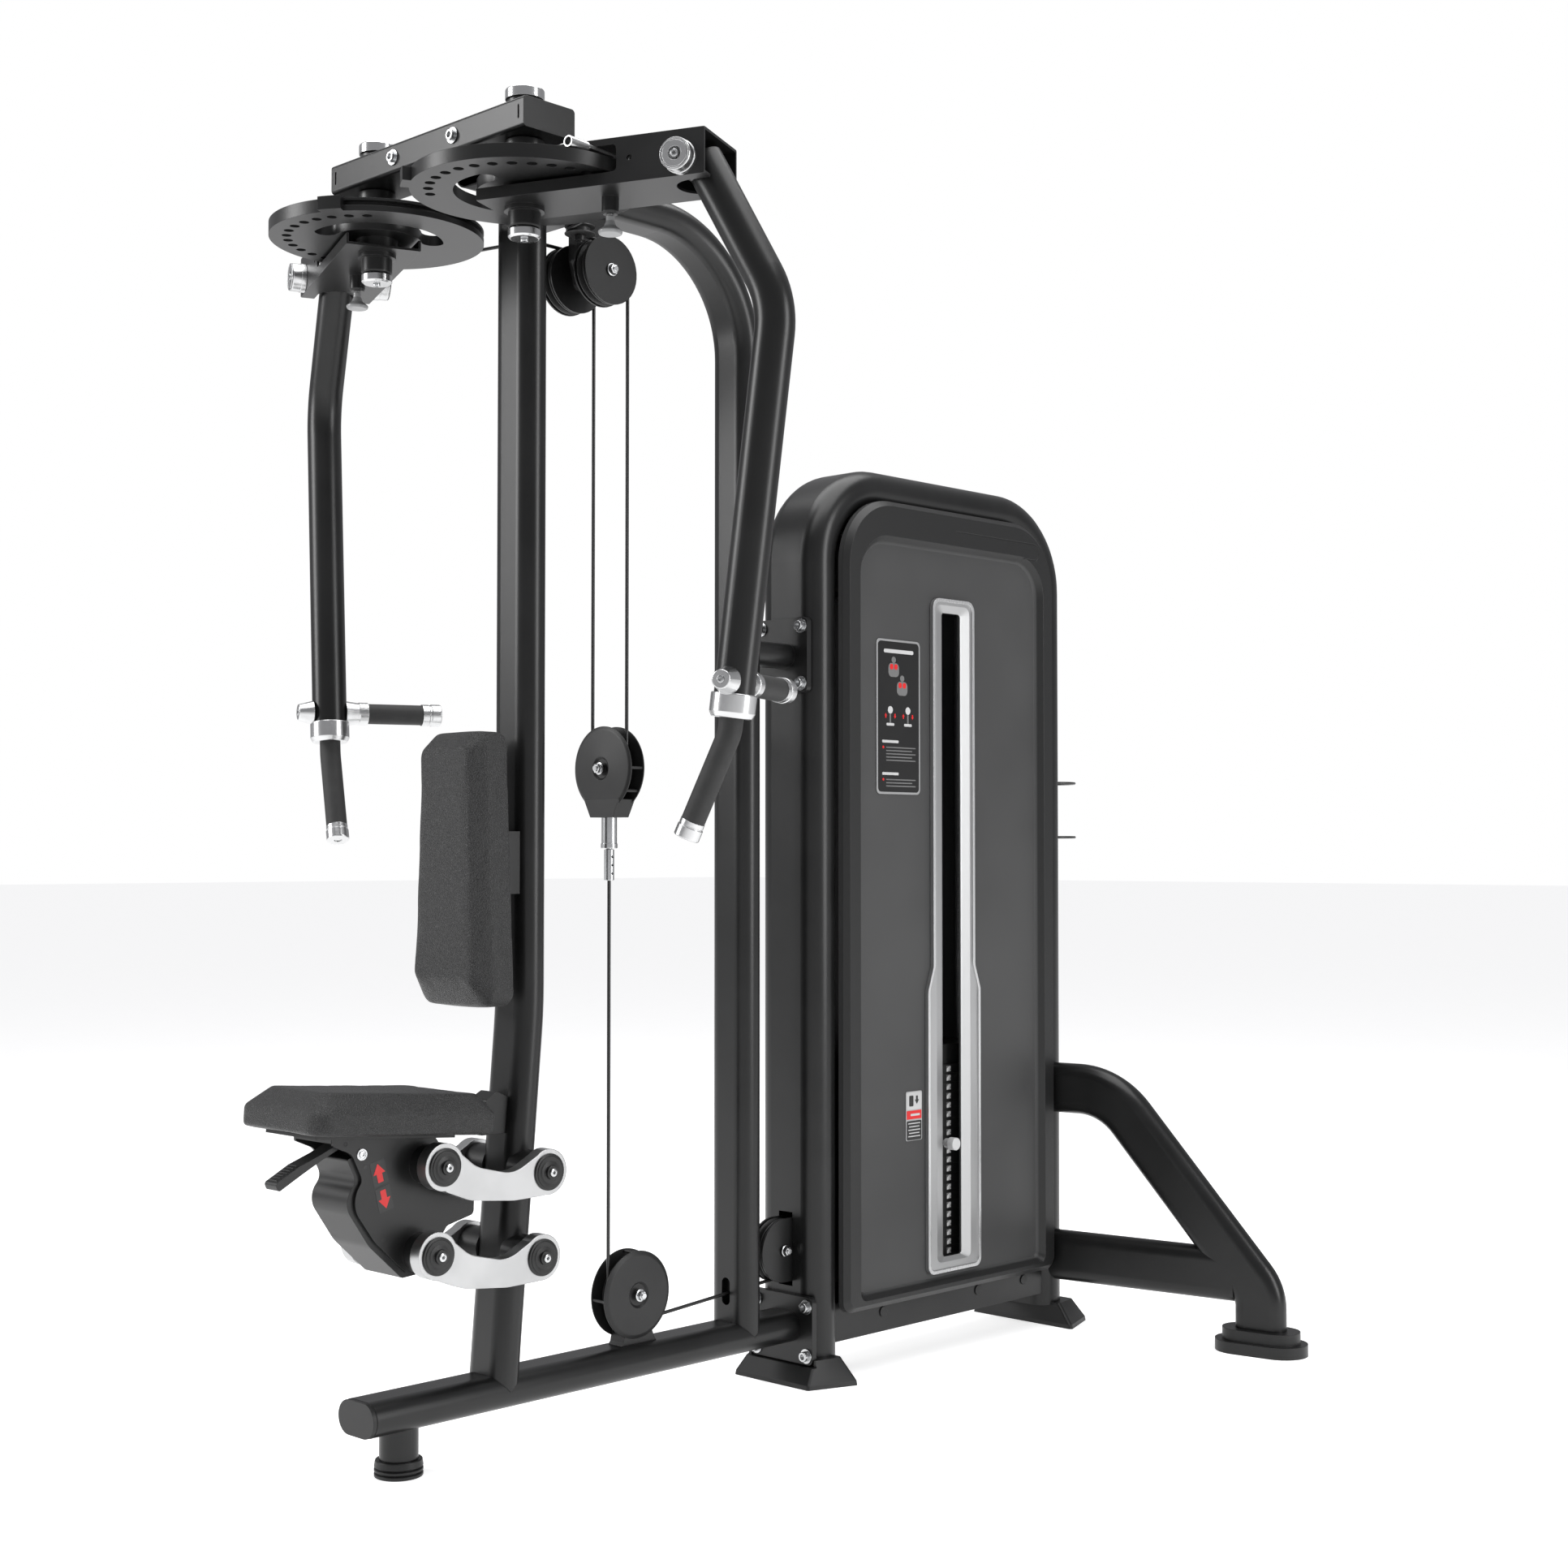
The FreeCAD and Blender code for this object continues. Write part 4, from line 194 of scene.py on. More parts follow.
# ---------------------------------------------------------------- feet, plugs and guards
# The front foot, the strut feet, the tower feet and all tube plugs are moulded in black rubber and
# plastic with a fine spark-eroded grain. They are pushed on or screwed under the tubes. The wheels
# are turned from a slightly lighter nylon.
moulded = shade("moulded_black", grey(0.0075, 0.02), grey(0.0110, 0.02), 0.42, 0.06,
                1500.0, 0.00010, edge=0.0015, Specular_IOR_Level=0.38)
dress(moulded, "floor_feet", "end_plugs", "base_pulley_guard", "float_block", "seat_fairing",
      "stack_cushions")
wheel_nylon = shade("wheel_nylon", grey(0.012), grey(0.018), 0.40, 0.06, 700.0, 0.00005,
                    edge=0.0006)
dress(wheel_nylon, "top_wheels", "guide_wheel_left", "guide_wheel_right", "float_wheel",
      "base_wheel", "low_tower_wheel", "head_tower_wheel", "stack_wheel")

# ---------------------------------------------------------------- plated bolts and polished parts
# Bolts are bright zinc. The collars and caps are turned and polished aluminium, and the seat links
# are cast and tumbled, so they are a little duller. The plunger knobs are lacquered grey.
zinc = shade("bright_zinc", grey(0.46, 0.02), grey(0.56, 0.03), 0.24, 0.06, 1800.0, 0.000008,
             edge=0.0005, Metallic=1.0)
dress(zinc, "frame_bolts", "turnbuckle")
knob_grey = shade("knob_grey", grey(0.20, 0.02), grey(0.26, 0.02), 0.30, 0.06, 700.0, 0.00004,
                  edge=0.0010, Coat_Weight=0.3)
dress(knob_grey, "plunger_left", "plunger_right")
polished = shade("polished_aluminium", grey(0.54, 0.01), grey(0.60, 0.01), 0.26, 0.04,
                 700.0, 0.000004, edge=0.0010, patch=18.0, Metallic=1.0)
dress(polished, "arm_metal_left", "arm_metal_right", "release_lever_left", "release_lever_right")
link_cast = shade("link_casting", grey(0.40, 0.01), grey(0.45, 0.01), 0.33, 0.05,
                  900.0, 0.000006, edge=0.0022, patch=9.0, Metallic=1.0)
dress(link_cast, "upper_links", "lower_links")

# ---------------------------------------------------------------- pivots of the cams
# Two 30 mm steel shafts hang from the crossbeam. Each has a black collar and boss between two
# turned aluminium caps: a ring is cut in the upper one, and a hex screw holds the lower one.
shaft_foot, shaft_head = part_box("pivot_shafts")[0][2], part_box("pivot_shafts")[1][2]
CAP_HEAD, CAP_FOOT = 0.0165, 0.0145
pivot_paint = Paint("pivot_finish")
pivot_z = pivot_paint.axes()[2]
is_cap = (pivot_z > shaft_head - CAP_HEAD).biggest(pivot_z < shaft_foot + CAP_FOOT)
turn_marks = pivot_paint.noise(1.0, 1.0, place=pivot_paint.stretched(30.0, 30.0, 5200.0))
pivot_paint.set("Base Color", pivot_paint.mix(is_cap, grey(0.008), grey(0.58, 0.01)))
pivot_paint.set("Metallic", is_cap)
pivot_paint.set("Roughness", 0.34 - is_cap * 0.12 + (turn_marks - 0.5) * 0.08)
pivot_paint.relief(turn_marks, 0.000006, edge=0.0008)
dress(pivot_paint, "pivot_shafts")


def turned_set(name, profile, places, paint, body, sides=48):
    """One piece of like turned parts, from rings of (radius, height) in mm, six-sided at a 6."""
    form = bmesh.new()
    for at, axis in places:
        turn = Vector(axis).to_track_quat("Z", "Y").to_matrix().to_4x4()
        move = Matrix.Translation(Vector(at)) @ turn
        rings = []
        for radius, height, *flats in profile:
            ring = []
            for k in range(sides):
                angle = math.tau * k / sides
                reach = radius
                if flats:
                    from_flat = angle % (math.pi / 3) - math.pi / 6
                    reach = radius * math.cos(math.pi / 6) / math.cos(from_flat)
                point = Vector((reach * math.cos(angle), reach * math.sin(angle), height)) * MM
                ring.append(form.verts.new(move @ point))
            rings.append(ring)
        for low, high in zip(rings, rings[1:]):
            for k in range(sides):
                form.faces.new((low[k], low[(k + 1) % sides], high[(k + 1) % sides], high[k]))
        form.faces.new(rings[0][::-1])
        form.faces.new(rings[-1])
    return finish_piece(name, form, paint, body)


def finish_piece(name, form, paint, body, smooth=0.5):
    """Turns a bmesh into a piece that rides on a body, smooth up to an angle in radians."""
    bmesh.ops.recalc_face_normals(form, faces=form.faces)
    mesh = bpy.data.meshes.new(name)
    form.to_mesh(mesh)
    form.free()
    mesh.polygons.foreach_set("use_smooth", [True] * len(mesh.polygons))
    mesh.set_sharp_from_angle(angle=smooth)
    mesh.materials.append(paint.material)
    piece = bpy.data.objects.new(name, mesh)
    bpy.context.scene.collection.objects.link(piece)
    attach(piece, body)
    return piece


SOCKET_SCREW = [(0.2, 1.2), (3.2, 1.2, 6), (3.2, 4.0, 6), (4.6, 4.0), (5.6, 3.6), (5.8, 3.0),
                (5.8, 0.2), (0.2, 0.2)]
CAP_RINGS = [(12, 0.05), (12, 0.9), (13.5, 0.9), (14, 0.1), (21, 0.1), (21.5, 0.9), (23, 0.9),
             (23, 0.05)]
SEATED = 0.2 * MM
UP = Vector((0, 0, 1))
side_of = {"left": 1, "right": -1}
pivot_at = {side: Vector((0.190 * s, 0.090, 0)) for side, s in side_of.items()}
cap_feet = [(p + UP * (shaft_foot - SEATED), -UP) for p in pivot_at.values()]
cap_heads = [(p + UP * (shaft_head - SEATED), UP) for p in pivot_at.values()]
turned_set("pivot_screws", SOCKET_SCREW, cap_feet, zinc, "frame")
turned_set("pivot_cap_rings", CAP_RINGS, cap_heads, polished, "frame")

# ---------------------------------------------------------------- arm axle caps
# The cross axle of each arm ends in two wide aluminium discs with a turned ring groove, a washer
# and a hex screw. They turn with the arm.
SWING = math.radians(22.5)


def on_carrier(side, out, rear, up):
    """A place given along a carrier: outwards, rearwards and up, in mm."""
    s = side_of[side]
    turned_out = out * math.cos(SWING) - rear * math.sin(SWING)
    turned_rear = out * math.sin(SWING) + rear * math.cos(SWING)
    return pivot_at[side] + Vector((s * turned_out, turned_rear, up)) * MM


def carrier_way(side, out, rear, up=0.0):
    return (on_carrier(side, out, rear, up) - pivot_at[side]).normalized()


DISC_FACE = [(10.2, 0.2), (10.2, 1.0), (19.5, 1.0), (20, 0.3), (21, 0.3), (21.5, 1.0), (23.4, 1.0),
             (23.6, 0.2)]
WASHER = [(5.9, 0.0), (5.9, 1.2), (9.2, 1.2), (9.6, 0.8), (9.6, 0.0)]
AXLE_OUT, AXLE_UP, AXLE_HALF, DISH = 289, 1957, 86, 1.5


def axle_ends(side, half):
    return [(on_carrier(side, AXLE_OUT, rear, AXLE_UP), carrier_way(side, 0, rear))
            for rear in (-half, half)]


for side in side_of:
    faces, dishes = axle_ends(side, AXLE_HALF), axle_ends(side, AXLE_HALF - DISH)
    turned_set("axle_faces_" + side, DISC_FACE, faces, polished, "arm_" + side)
    turned_set("axle_washers_" + side, WASHER, dishes, zinc, "arm_" + side)
    turned_set("axle_screws_" + side, SOCKET_SCREW, dishes, zinc, "arm_" + side)

# ---------------------------------------------------------------- hand grips
# Each arm has a hanging grip and a cross grip of matt black rubber tube with a very fine knurl. The
# ends are closed with turned caps, and the cross grip is clamped through the arm by a screw.
rubber = Paint("grip_rubber")
grain = rubber.cells(1500.0)
scuff = rubber.noise(35.0, 4.0, 0.6)
rubber.set("Base Color", rubber.mix(scuff.ramp(0.4, 0.75), grey(0.010), grey(0.017)))
rubber.set("Roughness", 0.62 + (scuff - 0.5) * 0.15)
rubber.relief(grain, 0.00018)
dress(rubber, "hand_grips_left", "hand_grips_right")
GRIP_OUT, GRIP_UP, GRIP_FRONT, GRIP_REAR = 349, 1199, -53, 199.5
for side in side_of:
    ends = [(on_carrier(side, GRIP_OUT, rear, GRIP_UP), carrier_way(side, 0, way))
            for rear, way in ((GRIP_FRONT, -1), (GRIP_REAR, 1))]
    turned_set("cross_grip_screws_" + side, SOCKET_SCREW, ends, zinc, "arm_" + side)

# ---------------------------------------------------------------- pulley nuts
# Every pulley axle is a bolt with a bright flange nut on each end, outside its guards or cheeks.
NUT = [(0.2, 0.0), (10.5, 0.0), (10.5, 1.4), (9.0, 2.2), (8.4, 2.2, 6), (8.4, 7.5, 6),
       (7.0, 8.6, 6), (5.2, 8.6), (5.2, 10.5), (4.4, 11.2), (0.2, 11.2)]
X_WAY, Y_WAY = Vector((1, 0, 0)), Vector((0, 1, 0))


def both_ends(centre, half, way):
    """The two ends of an axle that reaches half, in mm, to each side of its centre."""
    return [(centre + way * (s * half * MM), way * s) for s in (-1, 1)]


def hub(wheel):
    low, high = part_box(wheel)
    return (Vector(low) + Vector(high)) / 2


turned_set("float_nuts", NUT, both_ends(hub("float_wheel"), 22.5, Y_WAY), zinc, "float")
fixed_nuts = []
for wheel, half in (("base_wheel", 24.5), ("top_wheels", 60.0), ("low_tower_wheel", 19.0),
                    ("stack_wheel", 19.0)):
    fixed_nuts += both_ends(hub(wheel), half, X_WAY)
turned_set("axle_nuts", NUT, fixed_nuts, zinc, "frame")

# ---------------------------------------------------------------- cables
# Steel cable in a smooth black nylon sheath, 6 mm across, held taut over all its wheels.
sheath = shade("cable_sheath", grey(0.008), grey(0.012), 0.30, 0.04, 500.0, 0.00003)
dress(sheath, "drive_cables", "arm_cable_falls", "arm_cable_bend", "float_cable", "stack_fall")

# ---------------------------------------------------------------- tower shrouds
# Each side of the tower is closed by one moulded shroud: a raised black border with large top
# corners round a sunk charcoal centre of fine matt grain. A shallow line marks a cover at the top.
TOWER_Y = hub("side_panel_left").y
BORDER_FOOT, BORDER_TOP, FLAT_TOP = 0.0825, 0.0865, 0.0935
LINE_Z, LINE_HALF_Y, LINE_HALF_Z, LINE_ROUND = 1.552, 0.16, 0.016, 0.015


def rounded_edge(y, z, cy, cz, half_y, half_z, radius):
    """Signed distance from a rounded rectangle in the side plane."""
    dy = (abs(y - cy) - (half_y - radius)).biggest(0.0)
    dz = (abs(z - cz) - (half_z - radius)).biggest(0.0)
    return (dy * dy + dz * dz) ** 0.5 - radius


shroud = Paint("shroud_finish", Specular_IOR_Level=0.40)
sx, sy, sz = shroud.axes()
side_x = abs(sx)
centre_part = 1.0 - side_x.ramp(BORDER_FOOT, BORDER_TOP)
fine_grain = shroud.noise(1300.0, 3.0, 0.6)
cloud = shroud.noise(2.2, 3.0, 0.6)
groove = abs(rounded_edge(sy, sz, TOWER_Y + 0.10, LINE_Z, LINE_HALF_Y, LINE_HALF_Z, LINE_ROUND))
groove_line = (1.0 - groove.ramp(0.0006, 0.0016)) * (sy > TOWER_Y) * (side_x > FLAT_TOP)
border_colour = shroud.mix(groove_line, grey(0.0070, 0.02), grey(0.0015))
centre_colour = shroud.mix(cloud.ramp(0.3, 0.7), grey(0.034, 0.01), grey(0.044, 0.01))
shroud.set("Base Color", shroud.mix(centre_part, border_colour, centre_colour))
shroud_gloss = 0.40 + centre_part * 0.10 + (cloud - 0.5) * 0.06 + (fine_grain - 0.5) * 0.08
shroud.set("Roughness", shroud_gloss)
shroud.relief(fine_grain * 0.12 - groove_line, 0.0008, edge=0.0015)
dress(shroud, "side_panel_left", "side_panel_right")

# ---------------------------------------------------------------- slot bezel
# A long die-cast bezel frames the pin slot, wider beside the weight plates. It is silver painted,
# with a bright turned lip; the two placards are printed foil on the shroud's centre.
bezel_paint = Paint("bezel_silver", Metallic=0.85)
LIP_FOOT, LIP_TOP = 0.0880, 0.0890
lip = bezel_paint.axes()[0].ramp(LIP_FOOT, LIP_TOP)
brush = bezel_paint.noise(1.0, 2.0, 0.6, place=bezel_paint.stretched(900.0, 900.0, 14.0))
bezel_paint.set("Base Color", bezel_paint.mix(lip, grey(0.42, 0.01), grey(0.66, 0.01)))
bezel_paint.set("Roughness", 0.38 - lip * 0.10 + (brush - 0.5) * 0.10)
bezel_paint.relief(brush, 0.00005, edge=0.0012)
dress(bezel_paint, "panel_trim")
INK = 0.25


def printed(name, shapes, paint, body, level, to_world=None):
    """Thin printed shapes, each a loop of (y, z) in mm, standing on a face that looks along X."""
    form = bmesh.new()
    for loop in shapes:
        back, front = [], []
        for y, z in loop:
            place = Vector((level, y, z)) * MM
            if to_world:
                place = to_world @ place
            back.append(form.verts.new(place))
            front.append(form.verts.new(place + X_WAY * (INK * MM)))
        form.faces.new(back[::-1])
        form.faces.new(front)
        for k in range(len(back)):
            after = (k + 1) % len(back)
            form.faces.new((back[k], back[after], front[after], front[k]))
    return finish_piece(name, form, paint, body)


def bar(y, z, wide, high, radius=0.0, steps=5):
    """A rectangle about (y, z), with rounded corners if a radius is given."""
    if not radius:
        return [(y - wide / 2, z - high / 2), (y + wide / 2, z - high / 2),
                (y + wide / 2, z + high / 2), (y - wide / 2, z + high / 2)]
    loop = []
    for cy, cz, start in ((1, -1, -90), (1, 1, 0), (-1, 1, 90), (-1, -1, 180)):
        for k in range(steps + 1):
            angle = math.radians(start + 90 * k / steps)
            loop.append((y + cy * (wide / 2 - radius) + radius * math.cos(angle),
                         z + cz * (high / 2 - radius) + radius * math.sin(angle)))
    return loop


def disc(y, z, radius, count=20):
    angles = [math.tau * k / count for k in range(count)]
    return [(y + radius * math.cos(a), z + radius * math.sin(a)) for a in angles]


def arrow(y, z, size, up=1):
    """A block arrow about (y, z)."""
    w, h = size * 0.5, size
    stem = w * 0.45
    points = [(-stem, -h * 0.6), (stem, -h * 0.6), (stem, 0), (w, 0), (0, h * 0.7), (-w, 0),
              (-stem, 0)]
    loop = [(y + a, z + b * up) for a, b in points]
    return loop if up > 0 else loop[::-1]


ink_black = shade("print_black", grey(0.003), grey(0.004), 0.30, 0.03, 300.0, 0.00002)
ink_pale = shade("print_pale", grey(0.42), grey(0.48), 0.42, 0.03, 300.0, 0.00002)
ink_grey = shade("print_grey", grey(0.10), grey(0.13), 0.42, 0.03, 300.0, 0.00002)
ink_red = shade("print_red", (0.50, 0.004, 0.005, 1), (0.58, 0.006, 0.007, 1), 0.38, 0.03,
                300.0, 0.00002)


def foil(name, shapes, ink, level):
    return printed(name, shapes, ink, "frame", level)


PLACARD_Y, PLACARD_Z, PLACARD_X = 1080, 1204.5, 82.4
foil("placard_field", [bar(PLACARD_Y, PLACARD_Z, 116, 281, 8)], ink_black, PLACARD_X)
pale, red, dim = [bar(PLACARD_Y, 1327, 84, 7, 3)], [], []
for k, y in enumerate((1066, 1090)):
    z = 1296 - 34 * k
    dim += [bar(y, z - 4, 30, 26, 9), disc(y, z + 15, 6)]
    red += [bar(y - 6, z + 2, 9, 10, 3), bar(y + 6, z + 2, 9, 10, 3)]
for y in (1056, 1106):
    dim.append(bar(y, 1206, 4, 30, 1.5))
    pale += [disc(y, 1217, 7), bar(y, 1190, 22, 5, 2)]
    red += [arrow(y - 13, 1206, 7, 1), arrow(y + 13, 1206, 7, -1)]
for top, count in ((1158, 5), (1098, 3)):
    pale.append(bar(1056, top, 46, 5, 1.5))
    red.append(disc(1036, top - 11, 2.6))
    for k in range(count):
        dim.append(bar(1086 - 5 * (k % 2), top - 11 - 6 * k, 84 - 10 * (k % 2), 2.2, 1))
foil("placard_lines", dim, ink_grey, PLACARD_X + INK)
foil("placard_signs", pale, ink_pale, PLACARD_X + 2 * INK)
foil("placard_marks", red, ink_red, PLACARD_X + 2 * INK)
LABEL_Y, LABEL_X = 1123, 81.8
foil("stack_label_top", [bar(LABEL_Y, 486, 42, 32, 3)], ink_pale, LABEL_X)
foil("stack_label_band", [bar(LABEL_Y, 460, 42, 16)], ink_red, LABEL_X)
foil("stack_label_low", [bar(LABEL_Y, 431, 42, 36, 3)], ink_black, LABEL_X)
label_signs = [arrow(LABEL_Y + 8, 488, 12, -1), bar(LABEL_Y - 8, 486, 12, 20, 2)]
foil("stack_label_ink", label_signs, ink_black, LABEL_X + INK)
label_lines = [bar(LABEL_Y, 444 - 6 * k, 34 - 5 * (k % 2), 1.8) for k in range(5)]
label_lines.append(bar(LABEL_Y + 3, 460, 26, 4, 1))
foil("stack_label_lines", label_lines, ink_pale, LABEL_X + INK)

# ---------------------------------------------------------------- bottle holder
# Two rings of 5 mm wire welded to a narrow strap on the rear upright, black coated.
wire_coat = shade("wire_coat", grey(0.010), grey(0.014), 0.35, 0.05, 900.0, 0.00004)
dress(wire_coat, "bottle_holder")

# ---------------------------------------------------------------- weight stack
# Twenty-one steel plates in low-gloss black with ground edges, on two chromed guide rods. Each
# plate carries a small printed mark; the stem and the grey pin pick how many are lifted.
stack_paint = Paint("stack_plate_paint", Metallic=0.2)
speck = stack_paint.noise(500.0, 3.0, 0.6)
worn = stack_paint.noise(60.0, 3.0, 0.7).ramp(0.62, 0.74)
stack_paint.set("Base Color", stack_paint.mix(worn, grey(0.010), grey(0.035)))
stack_paint.set("Roughness", 0.42 + (speck - 0.5) * 0.14)
stack_paint.relief(speck, 0.00008, edge=0.0016)
dress(stack_paint, "resting_plates", "lifted_plates", "stack_head")
chromed = shade("chromed_rod", grey(0.66, 0.02), grey(0.74, 0.02), 0.12, 0.05, 600.0, 0.00001,
                Metallic=1.0)
dress(chromed, "guide_rods")
pin_grey = shade("pin_grey", grey(0.42, 0.01), grey(0.50, 0.01), 0.28, 0.04, 800.0, 0.00002,
                 edge=0.0010)
dress(pin_grey, "selector_pin")
STACK_LOW, PLATE_PITCH, RESTING, PLATES = 178.0, 17.4, 12, 21
MARK_X, MARK_Y = 55.1, 1256.5
for name, body, first, last in (("resting_marks", "frame", 0, RESTING),
                                ("lifted_marks", "stack", RESTING, PLATES)):
    marks, shades = [], []
    for i in range(first, last):
        y, z = MARK_Y, STACK_LOW + (i + 0.5) * PLATE_PITCH
        shades.append(bar(y, z, 13, 11.5, 1))
        marks.append([(y - 6, z - 5), (y - 1, z - 5), (y + 6, z + 1), (y + 6, z + 5), (y + 1, z + 5),
                      (y - 6, z)])
        marks.append(bar(y + 4, z - 3.6, 3.4, 2.6, 0.6))
    printed(name + "_field", shades, ink_grey, body, MARK_X)
    printed(name, marks, ink_pale, body, MARK_X + INK)

# ---------------------------------------------------------------- seat links
# Two pairs of polished cast links carry the seat. Black caps with a plated hex bolt cover their
# bearings, and the bright rim of the casting shows round each cap.
CAP_BOLT = [(0.2, 1.2), (3.0, 1.2, 6), (3.0, 5.0, 6), (5.2, 5.0), (6.4, 4.4), (6.6, 3.6),
            (6.6, 0.2), (0.2, 0.2)]
CAP_RING = [(17.0, 0.0), (17.0, 1.2), (18.2, 1.8), (24.4, 1.8), (25.4, 1.2), (25.4, 0.0)]
REAR_PIVOTS, FRONT_PIVOTS = ((220, 449), (208, 317)), ((17, 477), (5, 345))
BOLT_HALF, RING_HALF = 108.4, 102.9
for name, body, pivots in (("rear", "frame", REAR_PIVOTS),
                           ("front", "seat_carriage", FRONT_PIVOTS)):
    bolts, rings = [], []
    for y, z in pivots:
        centre = Vector((0, y, z)) * MM
        bolts += both_ends(centre, BOLT_HALF, X_WAY)
        rings += both_ends(centre, RING_HALF, X_WAY)
    turned_set(name + "_link_bolts", CAP_BOLT, bolts, zinc, body)
    turned_set(name + "_link_cap_rings", CAP_RING, rings, moulded, body)

# ---------------------------------------------------------------- seat fairing, decal and lever
# The moulded fairing hides the height lock. A black decal on the side plate shows the way up and
# down in red, and the release lever comes out at the front under the cushion.
dress(moulded, "seat_lever")
PLATE_X = 51
lean = Matrix.Translation((0, -0.063, 0.452)) @ Matrix.Rotation(math.radians(14), 4, "X")
decal_fields = [bar(0, 21, 27, 37, 1), bar(0, -20, 27, 37, 1)]
decal_arrows = [arrow(0, 20, 22, 1), arrow(0, -19, 22, -1)]
printed("decal_fields", decal_fields, ink_black, "seat_carriage", PLATE_X + 0.05,
        lean)
printed("decal_arrows", decal_arrows, ink_red, "seat_carriage", PLATE_X + 0.3, lean)
PLATE_BOLT = [(9.2, 0.0), (9.2, 1.0), (8.4, 1.6), (6.6, 1.6), (6.4, 0.9), (5.2, 0.9), (5.0, 2.6),
              (2.6, 2.8), (2.6, 1.4, 6), (0.2, 1.4)]
plate_bolts = both_ends(Vector((0, -0.099, 0.503)), PLATE_X, X_WAY)
turned_set("seat_plate_bolts", PLATE_BOLT, plate_bolts, zinc, "seat_carriage")
# The two holes in the side plate are not cut: thin black discs on the plate face stand for them,
# painted shade where the holes are.
HOLE_SHADOW_DISC = [(0.2, 0.15), (3.2, 0.15), (3.4, 0.0)]
hole_shadow_places = [(Vector((PLATE_X, y, z)) * MM, X_WAY) for y, z in ((-93, 484), (-59, 372))]
turned_set("seat_plate_hole_shadows", HOLE_SHADOW_DISC, hole_shadow_places, ink_black, "seat_carriage",
           sides=20)
soft_edge = cad["seat_fairing"].modifiers.new("moulded_edge", "BEVEL")
soft_edge.width = 0.006
soft_edge.segments = 4
soft_edge.limit_method = "ANGLE"
soft_edge.angle_limit = math.radians(60)
RIB_COUNT, RIB_START, RIB_STEP = 7, Vector((27, -203.5, 494.6)), Vector((0, -5.4, -3.0))
RIB_PLAN = [Vector((x, y, 0)) for x, y in ((-11, -1), (11, -1), (11, 1), (-11, 1))]
ribs = bmesh.new()
for k in range(RIB_COUNT):
    along = RIB_START + RIB_STEP * k
    low = [ribs.verts.new((along + corner - UP) * MM) for corner in RIB_PLAN]
    high = [ribs.verts.new((along + corner * 0.9 + UP * 1.6) * MM) for corner in RIB_PLAN]
    ribs.faces.new(low[::-1])
    ribs.faces.new(high)
    for i in range(4):
        ribs.faces.new((low[i], low[(i + 1) % 4], high[(i + 1) % 4], high[i]))
finish_piece("lever_ribs", ribs, moulded, "seat_lever")

# ---------------------------------------------------------------- seat and back pads
# Each pad is a block of moulded foam on a board, in one piece of grained black vinyl pulled over
# bevelled shoulders. The flats are crowned by the foam and the skin is drawn tight at the edges.
vinyl = Paint("grained_vinyl", Specular_IOR_Level=0.42)
cell_wall = vinyl.cells(300.0, feature="DISTANCE_TO_EDGE")
pores = vinyl.noise(1500.0, 2.0)
crumple = vinyl.noise(190.0, 3.0, 0.6)
handling = vinyl.noise(9.0, 3.0, 0.55)
handled = vinyl.mix(handling, grey(0.017, 0.02), grey(0.024, 0.02))
# The grooves between the pebbles of the grain are painted darker than the pebbles: painted shade in
# the grooves of the raised grain.
vinyl.set("Base Color", vinyl.mix(cell_wall.ramp(0.0, 0.12), grey(0.008), handled))
vinyl.set("Roughness", 0.47 + (handling - 0.5) * 0.10 + (pores - 0.5) * 0.10)
vinyl.relief(cell_wall.ramp(0.0, 0.30) * 0.6 + crumple * 0.6 + pores * 0.12, 0.0011)

SWELL = 0.0018


def corner_loop(corners, radius, steps=6):
    """Points round a polygon whose corners are rounded; every loop of one form has as many."""
    loop = []
    for i, here in enumerate(corners):
        here = Vector(here)
        back = (Vector(corners[i - 1]) - here).normalized()
        ahead = (Vector(corners[(i + 1) % len(corners)]) - here).normalized()
        half = back.angle(ahead) / 2
        middle = here + (back + ahead).normalized() * (radius / math.sin(half))
        start = here + back * (radius / math.tan(half))
        stop = here + ahead * (radius / math.tan(half))
        for k in range(steps + 1):
            way = (start.lerp(stop, k / steps) - middle).normalized()
            loop.append(middle + way * radius)
    return loop


def foam_block(name, levels, to_world):
    """A closed form through loops at rising levels, in mm, before the skin is pulled over it."""
    form = bmesh.new()
    rings = []
    for level, corners, radius in levels:
        rings.append([form.verts.new(to_world @ (Vector((p.x, p.y, level)) * MM))
                      for p in corner_loop(corners, radius)])
    for low, high in zip(rings, rings[1:]):
        for k in range(len(low)):
            after = (k + 1) % len(low)
            form.faces.new((low[k], low[after], high[after], high[k]))
    form.faces.new(rings[0][::-1])
    form.faces.new(rings[-1])
    bmesh.ops.recalc_face_normals(form, faces=form.faces)
    mesh = bpy.data.meshes.new(name)
    form.to_mesh(mesh)
    form.free()
    piece = bpy.data.objects.new(name, mesh)
    bpy.context.scene.collection.objects.link(piece)
    return piece


def settled(piece):
    """Replaces a piece's mesh with what its modifiers make of it now."""
    graph = bpy.context.evaluated_depsgraph_get()
    mesh = bpy.data.meshes.new_from_object(piece.evaluated_get(graph))
    piece.modifiers.clear()
    piece.data = mesh


